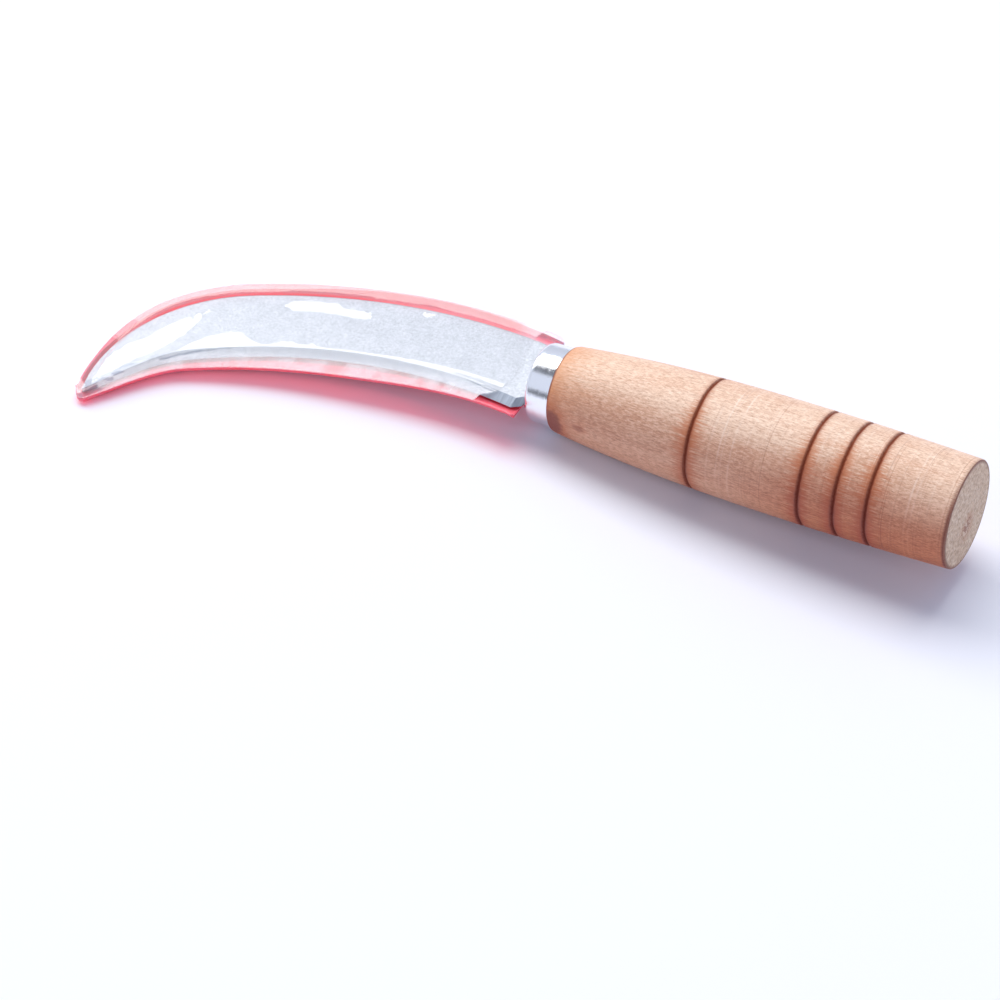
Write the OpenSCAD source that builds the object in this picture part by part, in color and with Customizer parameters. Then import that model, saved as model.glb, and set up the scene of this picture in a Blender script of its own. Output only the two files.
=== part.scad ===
// Hand sickle with a curved blade, a turned wooden handle and a slip-on plastic sheath.
// Tool frame: the handle axis is X, with x = 0 at the front of the wood and the butt at +X.
// The blade lies in the XY plane, its cutting edge on the -Y side, the sheath's clear side up.
// lie() then tips the tool forward until barrel and sheath both touch the table at z = 0.

/* [Blade] */
// Distance from the ferrule's front to the farthest point of the nose
blade_reach = 122.6; // [95:0.2:155]
// Height of the spine's crest above the handle axis
spine_rise = 14.8; // [12:0.1:20]
// Width of the blade at the crest
blade_w = 26.4; // [22:0.1:34]
// Distance from the ferrule's front to the crest of the curve
crest_back = 22.4; // [15:0.1:35]
// Radius of the long spine curve
spine_r = 167; // [140:1:240]
// Radius of the nose curve
nose_r = 46; // [36:0.5:56]
// Radius of the cutting edge
edge_r = 143; // [115:1:200]
// Distance of the tip below the handle axis
tip_drop = 59.2; // [48:0.2:72]
// Slope of the cutting edge where it meets the tip
tip_slope = 52; // [45:1:64]
// Thickness of the steel
blade_t = 1.6; // [1:0.1:2]
// Width of the ground bevel
bevel_w = 2.8; // [1.5:0.1:4]
// Thickness left at the cutting edge
edge_t = 0.15; // [0.1:0.05:0.3]
// Length of the corner cut off the heel
heel_cut = 2.8; // [1:0.1:4]
// Relief of the shoulders beside the tang
shoulder_ease = 0.2; // [0.1:0.05:0.3]

/* [Tang] */
// Length of the tang behind the blade's shoulders
tang_len = 66; // [40:1:85]
// Width of the tang at the shoulders
tang_w = 11; // [8:0.5:14]
// Width of the tang at its point
tang_end_w = 4; // [2:0.5:7]
// Diameter of the pilot hole drilled for the tang
pilot_d = 5; // [4:0.1:7]
// Depth of the pilot hole past the tang's point
pilot_past = 4; // [1:0.5:10]

/* [Handle] */
// Length of the wood from the ferrule to the butt
handle_len = 123.5; // [100:0.5:150]
// Diameter of the barrel where it is widest
barrel_d = 33; // [29:0.1:38]
// Diameter of the wood just behind the ferrule
front_d = 25.4; // [24.4:0.1:28]
// Diameter of the butt
butt_d = 31.2; // [28:0.1:34]
// Distance from the front of the wood to the widest place
belly_at = 79; // [60:1:95]
// Edge break at the butt
butt_break = 0.5; // [0.2:0.1:1.5]
// Rounding of the wood's front edge
front_round = 0.9; // [0.4:0.1:1.2]

/* [Grooves] */
// Distance of the single groove from the front of the wood
lone_groove_at = 45.8; // [30:0.1:60]
// Distance of the first groove of the group from the front of the wood
group_at = 80.2; // [70:0.1:85]
// Spacing from the group's first groove to its second
group_gap_a = 10.5; // [8:0.1:12]
// Spacing from the group's second groove to its third
group_gap_b = 9.4; // [8:0.1:12]
// Width of a groove
groove_w = 1.1; // [0.6:0.1:2]
// Depth of a groove
groove_depth = 0.5; // [0.2:0.1:0.9]

/* [Ferrule] */
// Outer diameter of the ferrule
ferrule_d = 23.6; // [22:0.1:24.2]
// Length of the ferrule
ferrule_len = 8.2; // [6:0.1:12]
// Wall of the ferrule
ferrule_wall = 0.8; // [0.5:0.05:1.2]
// Rounding of the ferrule's front edge
ferrule_round = 2; // [1.2:0.1:3]
// Play between ferrule and wood, and round the tang in its slot
seat_play = 0.05; // [0.02:0.01:0.1]

/* [Sheath] */
// Least gap between the blade's spine and the outside of the sheath
spine_gap = 4.3; // [3.5:0.1:7]
// Least gap between the cutting edge and the outside of the sheath at the mouth
mouth_gap = 3.1; // [2.5:0.1:6]
// The same gap half way along the blade
middle_gap = 6.7; // [5:0.1:9]
// Gap past the blade's tip
tip_gap = 1.3; // [1.2:0.1:3]
// Gap between the cutting edge and the outside of the sheath at the tip
edge_tip_gap = 3.4; // [2.8:0.1:5]
// Distance of the sheath's mouth in front of the ferrule
mouth_back = 1.4; // [0.8:0.1:4]
// Length of the lip that reaches back beside the ferrule on the edge side
mouth_lip = 2.8; // [0:0.1:4]
// Width of that lip
lip_w = 3; // [2:0.1:4]
// Wall of the moulded back
back_wall = 0.7; // [0.5:0.05:1]
// Thickness of the clear film
film_t = 0.3; // [0.2:0.05:0.5]
// Room between the flat of the blade and the sheath
flat_play = 0.4; // [0.3:0.05:0.6]
// Extra depth of the domed back in the middle
back_crown = 1.8; // [0:0.1:3]
// Width of the welded flange along the cutting edge
flange_w = 0.8; // [0.6:0.1:1.2]
// Play left round the blade while the sheath is drawn off
draw_play = 0.3; // [0.2:0.05:0.6]
// Distance from the sheath's mouth to the edge of the film
film_back = 7; // [4:0.5:20]

/* [Hidden] */

shoulder_x = -ferrule_len;
nose_x = shoulder_x - blade_reach;
crest_x = shoulder_x - crest_back;

// Direction at an angle, and the normal on the left of a direction
function dir(a) = [cos(a), sin(a)];
function unit(v) = v / norm(v);
function blend(t) = t * t * (3 - 2 * t);
function limit(v, low, high) = min(max(v, low), high);

// Spine: a long arc from the ferrule to the shoulder, then the nose arc down to the tip
spine_c = [crest_x, spine_rise - spine_r];
shoulder_a = acos((nose_x + nose_r - crest_x) / (spine_r - nose_r));
nose_c = spine_c + (spine_r - nose_r) * dir(shoulder_a);
tip_a = 180 + asin((nose_c[1] + tip_drop) / nose_r);
tip = nose_c + nose_r * dir(tip_a);

function spine_start(x) = acos((x - spine_c[0]) / spine_r);
function spine_len(x) = PI / 180 * (spine_r * (shoulder_a - spine_start(x)) + nose_r * (tip_a - shoulder_a));
// Angle on the long arc, or on the nose arc, at a distance s from the start at x
function on_long(x, s) = s < PI / 180 * spine_r * (shoulder_a - spine_start(x));
function spine_angle(x, s) =
    on_long(x, s)
    ? spine_start(x) + 180 / PI * s / spine_r
    : shoulder_a + 180 / PI * (s / nose_r) - (shoulder_a - spine_start(x)) * spine_r / nose_r;
// Point of the spine's curve moved outwards by off, starting at x
function spine_point(x, s, off) =
    on_long(x, s)
    ? spine_c + (spine_r + off) * dir(spine_angle(x, s))
    : nose_c + (nose_r + off) * dir(spine_angle(x, s));

// Cutting edge: an arc from the heel to the bend, then a cubic curve to the tip
edge_c = [crest_x, spine_rise - blade_w - edge_r];
bend_x = nose_x + 0.183 * blade_reach;
bend_a = acos((bend_x - edge_c[0]) / edge_r);
bend = edge_c + edge_r * dir(bend_a);
tail_pull = norm(tip - bend) / 3;
tail = [bend, bend + tail_pull * dir(bend_a + 90), tip + tail_pull * dir(tip_slope), tip];

function cubic(p, t) =
    p[0] * pow(1 - t, 3) + 3 * p[1] * t * pow(1 - t, 2) + 3 * p[2] * t * t * (1 - t) + p[3] * pow(t, 3);
function cubic_dir(p, t) =
    unit((p[1] - p[0]) * pow(1 - t, 2) + 2 * (p[2] - p[1]) * t * (1 - t) + (p[3] - p[2]) * t * t);
function edge_start(x) = acos((x - edge_c[0]) / edge_r);
function arc_share(x) =
    let (arc = PI / 180 * edge_r * (bend_a - edge_start(x)))
    arc / (arc + norm(tip - bend) * 1.02);
// Point of the cutting edge's curve at share t, moved away from the blade by off, starting at x
function edge_point(x, t, off) =
    let (f = arc_share(x))
    t < f
    ? edge_c + (edge_r - off) * dir(edge_start(x) + (bend_a - edge_start(x)) * t / f)
    : let (u = (t - f) / (1 - f), d = cubic_dir(tail, u)) cubic(tail, u) + off * [-d[1], d[0]];

// Blade outline, with the same number of points on both faces
blade_steps = 60;
heel_x = shoulder_x - shoulder_ease - heel_cut;
corner_x = shoulder_x - shoulder_ease;
spine_side = [for (i = [0 : blade_steps]) spine_point(corner_x, spine_len(corner_x) * i / blade_steps, 0)];
edge_side = [for (i = [blade_steps - 1 : -1 : 0]) edge_point(heel_x, i / blade_steps, 0)];
bevel_side = [for (i = [blade_steps - 1 : -1 : 0])
    edge_point(heel_x, i / blade_steps, -bevel_w * min(1, 4 * (1 - i / blade_steps)))];
heel_top = [corner_x, edge_point(heel_x, 0, 0)[1] + 0.7 * heel_cut];
heel_inner = [corner_x, heel_top[1] + bevel_w];
shank = [
    [shoulder_x, -tang_w / 2],
    [shoulder_x + tang_len, -tang_end_w / 2],
    [shoulder_x + tang_len, tang_end_w / 2],
    [shoulder_x, tang_w / 2]
];

// Barrel radius along the handle
front_power = 2.6;
rear_power = 1.6;
function barrel_r(s) =
    s < belly_at
    ? (barrel_d - (barrel_d - front_d) * pow(1 - s / belly_at, front_power)) / 2
    : (barrel_d - (barrel_d - butt_d) * pow((s - belly_at) / (handle_len - belly_at), rear_power)) / 2;
grooves = [lone_groove_at, group_at, group_at + group_gap_a, group_at + group_gap_a + group_gap_b];
barrel_marks = concat([front_round - groove_w / 2], grooves, [handle_len - butt_break + groove_w / 2]);
barrel_steps = 10;
// Outline of the barrel from front to butt, with a notch at each groove
barrel_side = [for (i = [0 : len(barrel_marks) - 2])
    let (a = barrel_marks[i] + groove_w / 2, b = barrel_marks[i + 1] - groove_w / 2)
    each concat(
        [for (k = [0 : barrel_steps]) let (s = a + (b - a) * k / barrel_steps) [s, barrel_r(s)]],
        i < len(grooves) ? [[grooves[i], barrel_r(grooves[i]) - groove_depth]] : []
    )];
tenon_r = ferrule_d / 2 - ferrule_wall - seat_play;
tenon_x = shoulder_x + ferrule_wall;

// Sheath outline, walked from the mouth to the tip on both sides
mouth_x = shoulder_x - mouth_back;
sheath_steps = 56;
cap_steps = 4;
cap_from = tip_a;
cap_to = 270 + tip_slope;
function spine_off(t) = spine_gap + (tip_gap - spine_gap) * blend(limit((t - 0.73) / 0.21, 0, 1));
function edge_off(t) =
    mouth_gap + (middle_gap - mouth_gap) * blend(limit(t / 0.4, 0, 1)) + (edge_tip_gap - middle_gap) * blend(limit((t - 0.4) / 0.6, 0, 1));

// Centre about which the sheath is drawn off, and the blade's reach on each side as seen from there
draw_c = spine_c + [-0.024, 0.225] * spine_r;
function reach(p) = norm(p - draw_c);
function bearing(p) = atan2(p[1] - draw_c[1], p[0] - draw_c[0]);
tip_bearing = bearing(tip);
track_steps = 240;
edge_track = [for (i = [0 : track_steps]) let (p = edge_point(heel_x, i / track_steps, 0)) [bearing(p), reach(p)]];
spine_track = [for (i = [0 : track_steps])
    let (p = spine_point(corner_x, spine_len(corner_x) * i / track_steps, 0)) [bearing(p), reach(p)]];
// Closest and farthest place of all the blade that passes a bearing while the sheath is drawn off
function near_limit(a) = min([for (q = edge_track) if (q[0] > min(a, tip_bearing) - 0.4) q[1]]);
function far_limit(a) = max([for (q = spine_track) if (q[0] > min(a, tip_bearing) - 0.4) q[1]]);
edge_room = flange_w + 0.3 + draw_play;
spine_room = back_wall + 0.1 + draw_play;
function kept_near(p, v = 0) = draw_c + min(reach(p), near_limit(bearing(p)) - edge_room + v) * dir(bearing(p));
function kept_far(p) = draw_c + max(reach(p), far_limit(bearing(p)) + spine_room) * dir(bearing(p));

outer_rim = concat(
    [for (i = [0 : sheath_steps]) let (t = i / sheath_steps)
        kept_far(spine_point(mouth_x, spine_len(mouth_x) * t, spine_off(t)))],
    [for (k = [1 : cap_steps]) cap_point(k / (2 * cap_steps + 1))]
);
inner_rim = concat(
    [for (i = [0 : sheath_steps]) let (t = i / sheath_steps) kept_near(edge_point(mouth_x, t, edge_off(t)))],
    [for (k = [1 : cap_steps]) cap_point(1 - k / (2 * cap_steps + 1))]
);
sections = len(outer_rim);
// Rounded end past the tip, at share u of the way round, and its height against the other sections
function cap_point(u) = tip + (tip_gap + (edge_tip_gap - tip_gap) * blend(u)) * dir(cap_from + (cap_to - cap_from) * u);
function cap_height(i) = 1 - 0.45 * pow(max(0, i - sheath_steps) / cap_steps, 2);
rim_w = [for (i = [0 : sections - 1]) norm(outer_rim[i] - inner_rim[i])];

// Heights in the sheath's section, from the welded flange at 0
floor_z = -blade_t / 2 - flat_play;
film_z = blade_t / 2 + flat_play;
full_w = 7;
function squeeze(w) = min(1, w / full_w);
function crown(w) = back_crown * pow(w / rim_w[0], 2);
// Section of the back: the outside from the flange round to the spine wall, then the inside back
function back_section(w, open) =
    let (k = squeeze(w), c = crown(w), f = flange_w * k, b = back_wall, low = floor_z - b, q = open ? 1 : 0)
    [
        [0, 0],
        [0.1 * k, -0.5 * b],
        [0.45 * f, low * 0.62],
        [f + 0.35 * k, low],
        [w * 0.27, low - 0.75 * c],
        [w * 0.5, low - c],
        [w * 0.73, low - 0.75 * c],
        [w - 1.8 * k, low],
        [w - 0.75 * k, low * 0.88],
        [w - 0.2 * k, low * 0.6],
        [w, low * 0.2],
        [w, film_z],
        [w - b * k, film_z],
        [w - b * k, blend_z(q, w - b * k, w, 0.1 * floor_z, k)],
        [w - (b + 0.02) * k, blend_z(q, w - (b + 0.02) * k, w, 0.4 * floor_z, k)],
        [w - (b + 0.06) * k, blend_z(q, w - (b + 0.06) * k, w, 0.72 * floor_z, k)],
        [w - (b + 0.6) * k, blend_z(q, w - (b + 0.6) * k, w, floor_z, k)],
        [w * 0.72, blend_z(q, w * 0.72, w, floor_z - 0.75 * c, k)],
        [w * 0.5, blend_z(q, w * 0.5, w, floor_z - c, k)],
        [w * 0.28, blend_z(q, w * 0.28, w, floor_z - 0.75 * c, k)],
        [f + 0.45 * k, blend_z(q, f + 0.45 * k, w, floor_z, k)],
        [f + 0.25 * k, blend_z(q, f + 0.25 * k, w, 0.6 * floor_z, k)],
        [f + 0.07 * k, blend_z(q, f + 0.07 * k, w, 0.2 * floor_z, k)],
        [f, 0]
    ];
// Height of the inside: the cavity's own height, or the film's underside where the section is solid
function blend_z(q, v, w, z, k) = q == 1 ? z : film_under(v, w, k) - 0.001;
function film_under(v, w, k) = film_z * limit((v - flange_w * k) / (0.9 * k), 0, 1);
// Section of the film: the top from the flange to the spine wall, then the underside back
function film_section(w) =
    let (k = squeeze(w), f = flange_w * k, h = f + 0.9 * k)
    [
        [0, film_t],
        [f, film_t],
        [h, film_z + film_t],
        [w * 0.5, film_z + film_t],
        [w, film_z + film_t],
        [w, film_z],
        [w * 0.5, film_z],
        [h, film_z],
        [f, 0],
        [0, 0]
    ];

// Place a section's points between the two rims, at heights scaled by h
function in_place(a, b, h, section) =
    let (e = unit(b - a))
    [for (p = section) [a[0] + e[0] * p[0], a[1] + e[1] * p[0], p[1] * h]];
// The mouth's own section, drawn out into the lip
lip_dir = unit([1, 0.45]);
function lip_share(v) = max(0, 1 - v / lip_w);
mouth_ring = [for (p = back_section(rim_w[0], true))
    let (
        q = inner_rim[0] + unit(outer_rim[0] - inner_rim[0]) * p[0] + lip_dir * mouth_lip * lip_share(p[0]),
        r = p[0] < lip_w ? kept_near(q, p[0]) : q
    )
    [r[0], r[1], p[1]]];
back_rings = concat([mouth_ring], [for (i = [1 : sections - 1])
    in_place(inner_rim[i], outer_rim[i], cap_height(i), back_section(rim_w[i], i <= sheath_steps))]);

// Film sections, the first one between two sections of the back
film_x = mouth_x - film_back;
film_next = len([for (p = outer_rim) if (p[0] > film_x) p]);
film_mix = (film_x - outer_rim[film_next - 1][0]) / (outer_rim[film_next][0] - outer_rim[film_next - 1][0]);
film_a = inner_rim[film_next - 1] + (inner_rim[film_next] - inner_rim[film_next - 1]) * film_mix;
film_b = outer_rim[film_next - 1] + (outer_rim[film_next] - outer_rim[film_next - 1]) * film_mix;
film_rings = concat([in_place(film_a, film_b, 1, film_section(norm(film_b - film_a)))],
    [for (i = [film_next : sections - 1])
        in_place(inner_rim[i], outer_rim[i], cap_height(i), film_section(rim_w[i]))]);

// Pitch at which barrel and sheath both touch the table, found by halving
back_low = [for (ring = back_rings) each [for (p = ring) if (p[2] < floor_z) p]];
function barrel_height(a) = min([for (p = barrel_side) p[0] * sin(a) - p[1] * cos(a)]);
function sheath_height(a) = min([for (p = back_low) p[0] * sin(a) + p[2] * cos(a)]);
function settle(low, high, n) =
    let (a = (low + high) / 2)
    n == 0 ? a : barrel_height(a) < sheath_height(a) ? settle(a, high, n - 1) : settle(low, a, n - 1);
lie_a = settle(0, 20, 24);
lift = -barrel_height(lie_a);
function tilted_x(p) = p[0] * cos(lie_a) - p[2] * sin(lie_a);
nose_end = min([for (ring = back_rings) each [for (p = ring) tilted_x(p)]]);
butt_end = handle_len * cos(lie_a) + (butt_d / 2 - butt_break) * sin(lie_a);
low_y = min([for (ring = back_rings) each [for (p = ring) p[1]]]);
high_y = max([for (ring = back_rings) each [for (p = ring) p[1]]]);
shift = [-(nose_end + butt_end) / 2, -(low_y + high_y) / 2, lift];

function placed(p) = [
    p[0] * cos(lie_a) - p[2] * sin(lie_a) + shift[0],
    p[1] + shift[1],
    p[0] * sin(lie_a) + p[2] * cos(lie_a) + shift[2]
];
echo(lie_angle = lie_a, butt_centre = placed([handle_len, 0, 0]), grip_centre = placed([belly_at, 0, 0]));
echo(draw_centre = placed([draw_c[0], draw_c[1], 0]), draw_axis = [-sin(lie_a), 0, cos(lie_a)]);
echo(front_of_wood = placed([0, 0, 0]), tip = placed([tip[0], tip[1], 0]));
echo(tip_at = tip_bearing, mouth_at = bearing(inner_rim[0]), mouth_top_at = bearing(outer_rim[0]), tool_shift = shift);
edge_mid = edge_point(heel_x, 0.5, 0);
echo(edge_middle = placed([edge_mid[0], edge_mid[1], 0]));

module lie() {
    translate(shift)
        rotate([0, -lie_a, 0])
            children();
}

// Faces across a ring whose two halves run opposite ways
function across(n) = [for (i = [0 : n / 2 - 2]) [i, i + 1, n - 2 - i, n - 1 - i]];

// Solid through a list of closed rings of equal length, with the same cap faces on both ends
module skin(rings, cap) {
    n = len(rings[0]);
    last = len(rings) - 1;
    faces = concat(
        cap,
        [for (i = [0 : last - 1], k = [0 : n - 1])
            [i * n + k, (i + 1) * n + k, (i + 1) * n + (k + 1) % n, i * n + (k + 1) % n]],
        [for (face = cap) [for (k = [len(face) - 1 : -1 : 0]) last * n + face[k]]]
    );
    polyhedron(points = [for (ring = rings) each ring], faces = faces, convexity = 8);
}

// Blade and tang in one plate: three equal outlines, the top one drawn in along the bevel
module blade() {
    low = concat(spine_side, edge_side, [heel_top], shank);
    high = concat(spine_side, bevel_side, [heel_inner], shank);
    z0 = -blade_t / 2;
    n = blade_steps;
    cap = concat(
        [for (i = [0 : n - 2]) [i, i + 1, 2 * n - i - 1, 2 * n - i]],
        [[n - 1, n, n + 1], [0, 2 * n, 2 * n + 1], [0, 2 * n + 1, 2 * n + 2, 2 * n + 5]],
        [[2 * n + 2, 2 * n + 3, 2 * n + 4, 2 * n + 5]]
    );
    color("gainsboro")
        lie()
            skin([
                [for (p = high) [p[0], p[1], blade_t / 2]],
                [for (p = low) [p[0], p[1], z0 + edge_t]],
                [for (p = low) [p[0], p[1], z0]]
            ], cap);
}

// Drawn cap over the front of the handle, slotted for the tang
module ferrule() {
    r = ferrule_d / 2;
    corner_steps = 8;
    outline = concat(
        [[0, r], [0, r - ferrule_wall], [tenon_x, r - ferrule_wall], [tenon_x, 0], [shoulder_x, 0]],
        [for (k = [0 : corner_steps])
            [shoulder_x + ferrule_round, r - ferrule_round] + ferrule_round * dir(180 - 90 * k / corner_steps)]
    );
    color("silver")
        lie()
            difference() {
                rotate([0, 90, 0])
                    rotate_extrude($fn = 96)
                        polygon([for (p = outline) [p[1], p[0]]]);
                tang_room(shoulder_x - 1, tenon_x + 1);
            }
}

// Straight slot for the tang between two places on the axis
module tang_room(from, to) {
    translate([from, -tang_w / 2 - seat_play, -blade_t / 2 - seat_play])
        cube([to - from, tang_w + 2 * seat_play, blade_t + 2 * seat_play]);
}

// Turned barrel with its tenon, the tapered seat of the tang and the pilot hole
module handle() {
    outline = concat(
        [[tenon_x, 0], [tenon_x, tenon_r], [0, tenon_r], [0, front_d / 2 - front_round]],
        barrel_side,
        [[handle_len, butt_d / 2 - butt_break], [handle_len, 0]]
    );
    color("burlywood")
        lie()
            difference() {
                rotate([0, 90, 0])
                    rotate_extrude($fn = 96)
                        polygon([for (p = outline) [p[1], p[0]]]);
                translate([0, 0, -blade_t / 2])
                    linear_extrude(blade_t)
                        polygon(shank);
                translate([tenon_x - 1, 0, 0])
                    rotate([0, 90, 0])
                        cylinder(d = pilot_d, h = shoulder_x + tang_len + pilot_past - tenon_x + 1, $fn = 48);
            }
}

// Moulded back: a shallow domed tray with a spine wall and a flange along the cutting edge
module sheath_back() {
    color("salmon")
        lie()
            skin(back_rings, across(len(back_rings[0])));
}

// Clear film over the tray, welded to the flange and to the top of the spine wall
module sheath_film() {
    color("lightblue")
        lie()
            skin(film_rings, across(len(film_rings[0])));
}

blade();
ferrule();
handle();
sheath_back();
sheath_film();
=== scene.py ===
"""A small hooked sickle with a turned handle and a slip-on sheath, lying on white paper.

Sizes are in millimetres in the tool's own frame: x runs along the handle from the front of the wood to the butt, the
blade lies in the xy plane with its cutting edge on the -y side, and z points out of the sheath's clear side.
Posture lays that frame on the table. Angles are in degrees unless a name ends in _rad. The studio is in metres.
"""

import logging
import math
from dataclasses import dataclass, field
from enum import Enum
from typing import Optional, Sequence, Union

import bmesh
import bpy
import numpy as np
from mathutils import Matrix, Vector


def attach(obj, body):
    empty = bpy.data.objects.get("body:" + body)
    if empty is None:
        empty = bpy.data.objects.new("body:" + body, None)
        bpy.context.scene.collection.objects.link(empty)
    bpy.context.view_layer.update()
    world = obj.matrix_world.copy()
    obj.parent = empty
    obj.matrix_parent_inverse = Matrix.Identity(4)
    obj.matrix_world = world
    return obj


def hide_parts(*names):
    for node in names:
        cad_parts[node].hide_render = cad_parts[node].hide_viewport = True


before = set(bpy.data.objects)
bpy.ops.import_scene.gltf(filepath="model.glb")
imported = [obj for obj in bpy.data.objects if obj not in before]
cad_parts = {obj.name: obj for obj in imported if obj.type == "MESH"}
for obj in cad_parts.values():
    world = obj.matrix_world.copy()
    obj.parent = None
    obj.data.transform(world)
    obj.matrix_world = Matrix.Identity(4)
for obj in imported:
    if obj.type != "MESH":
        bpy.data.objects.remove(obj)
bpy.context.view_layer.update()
LOG = logging.getLogger("sickle")

Socket, Material, Object = bpy.types.NodeSocket, bpy.types.Material, bpy.types.Object
Array = np.ndarray
Numbers = Union[float, Array]
Pair, Triple = tuple[float, float], tuple[float, float, float]
Pairs = tuple[Pair, ...]
Colour = Triple
Value = Union[float, Sequence[float], Socket]

HANDLE_LENGTH = 123.5
GROOVES = (45.8, 80.2, 90.7, 100.1)


class Body(Enum):
    """The two bodies that move against each other."""

    KNIFE = "knife"
    SHEATH = "sheath"


class Slot(Enum):
    """The record's material slots."""

    STEEL = "steel"
    FERRULE = "ferrule_metal"
    WOOD = "wood"
    RED = "red_plastic"
    FILM = "clear_film"


def paint(red: int, green: int, blue: int) -> Colour:
    """Linear colour of a screen colour given as three numbers from 0 to 255.

    Args:
        red: Red share.
        green: Green share.
        blue: Blue share.

    Returns:
        The colour as Blender's shaders take it.
    """
    share = np.array([red, green, blue]) / 255
    linear = np.where(share <= 0.04045, share / 12.92, ((share + 0.055) / 1.055) ** 2.4)
    return tuple(float(c) for c in linear)


def turn(angle: Array) -> Array:
    """Unit vectors in the xy plane at the given angles, stacked on the last axis."""
    rad = np.radians(angle)
    return np.stack([np.cos(rad), np.sin(rad)], -1)


def unit(v: Array) -> Array:
    """Vectors on the last axis, each divided by its length."""
    return v / np.linalg.norm(v, axis=-1, keepdims=True)


def ease(t: Array) -> Array:
    """Smooth step 3t^2 - 2t^3 of t held between 0 and 1."""
    t = np.clip(t, 0, 1)
    return t * t * (3 - 2 * t)


def waves(a: Array, b: Array, seed: int, count: int = 7, finest: float = 1.0) -> Array:
    """Smooth uneven field: a sum of count sine waves of random direction, length and phase over (a, b).

    Args:
        a: First coordinate.
        b: Second coordinate, of the same shape.
        seed: Seed of the random draw.
        count: How many waves are added.
        finest: Shortest wavelength, in the coordinates' unit.

    Returns:
        The field, mostly between -1 and 1.
    """
    rng = np.random.default_rng(seed)
    length = finest * (1 + 4 * rng.random(count))
    heading = rng.random(count) * 2 * np.pi
    phase = rng.random(count) * 2 * np.pi
    total = 0.0
    for one, way, start in zip(length, heading, phase):
        total = total + np.sin(2 * np.pi / one * (a * np.cos(way) + b * np.sin(way)) + start)
    return total / math.sqrt(count)


@dataclass(frozen=True)
class Posture:
    """How the tool lies on the table: tipped forward about y, then moved."""

    pitch_rad: float = math.radians(4.73722)
    shift: Triple = (3.90259, 21.4741, 13.0231)

    def place(self, points: Array) -> Array:
        """Tool-frame points in millimetres as world points in metres.

        Args:
            points: Array (..., 3).

        Returns:
            Array of the same shape.
        """
        c, s = math.cos(self.pitch_rad), math.sin(self.pitch_rad)
        x, y, z = points[..., 0], points[..., 1], points[..., 2]
        return (np.stack([x * c - z * s, y, x * s + z * c], -1) + self.shift) / 1000


POSTURE = Posture()


def placed(name: str, data: bpy.types.ID) -> Object:
    """New object with that data, linked into the scene.

    Args:
        name: Name of the object.
        data: Its mesh, light or camera.

    Returns:
        The new object.
    """
    made = bpy.data.objects.new(name, data)
    bpy.context.scene.collection.objects.link(made)
    return made


def grid_cells(index: Array) -> Array:
    """Quads (n, 4) between the neighbours in a grid of point numbers."""
    return np.stack([index[:-1, :-1], index[1:, :-1], index[1:, 1:], index[:-1, 1:]], -1).reshape(-1, 4)


class Surface:
    """Collects grids of points and joins them into one closed, welded mesh."""

    def __init__(self, name: str) -> None:
        """Starts an empty surface with the piece's name.

        Args:
            name: Name of the piece.
        """
        self.name = name
        self.points: list[Array] = []
        self.faces: list[Array] = []
        self.marks: list[Array] = []
        self.count = 0

    def grid(self, points: Array, wrap: bool = False, marks: Optional[Array] = None) -> None:
        """Adds a grid whose cell (i, j) is the quad between rows i, i + 1 and columns j, j + 1.

        Args:
            points: Array (rows, columns, 3) in the tool frame.
            wrap: Joins the last column to the first.
            marks: Array (rows, columns, 3) kept with the points for the finish to read.
        """
        rows, cols = points.shape[:2]
        index = np.arange(rows * cols).reshape(rows, cols) + self.count
        if wrap:
            index = np.concatenate([index, index[:, :1]], 1)
        self.points.append(points.reshape(-1, 3))
        self.faces.append(grid_cells(index))
        self.marks.append(np.zeros((rows * cols, 3)) if marks is None else marks.reshape(-1, 3))
        self.count += rows * cols

    def build(self, finish: "Finish", sharp: float, weld: float = 1e-7) -> Object:
        """Writes the mesh, welds its doubles, turns its faces outwards and dresses it.

        Args:
            finish: The finish of the whole piece.
            sharp: Edges that turn by more than this many degrees are shaded sharp.
            weld: Points closer than this, in metres, become one.

        Returns:
            The new object, at the origin.
        """
        points = POSTURE.place(np.concatenate(self.points))
        quads = np.concatenate(self.faces)
        marks = np.concatenate(self.marks).astype(np.float32)
        mesh = bpy.data.meshes.new(self.name)
        mesh.vertices.add(len(points))
        mesh.vertices.foreach_set("co", points.ravel())
        mesh.loops.add(quads.size)
        mesh.loops.foreach_set("vertex_index", quads.ravel().astype(np.int32))
        mesh.polygons.add(len(quads))
        mesh.polygons.foreach_set("loop_start", np.arange(0, quads.size, 4, dtype=np.int32))
        mesh.attributes.new("lay", "FLOAT_VECTOR", "POINT").data.foreach_set("vector", marks.ravel())
        mesh.update(calc_edges=True)
        work = bmesh.new()
        work.from_mesh(mesh)
        bmesh.ops.remove_doubles(work, verts=work.verts, dist=weld)
        bmesh.ops.recalc_face_normals(work, faces=work.faces)
        work.to_mesh(mesh)
        work.free()
        mesh.polygons.foreach_set("use_smooth", np.ones(len(mesh.polygons), bool))
        mesh.set_sharp_from_angle(angle=math.radians(sharp))
        mesh.materials.append(finish.material())
        return placed(self.name, mesh)


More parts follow.
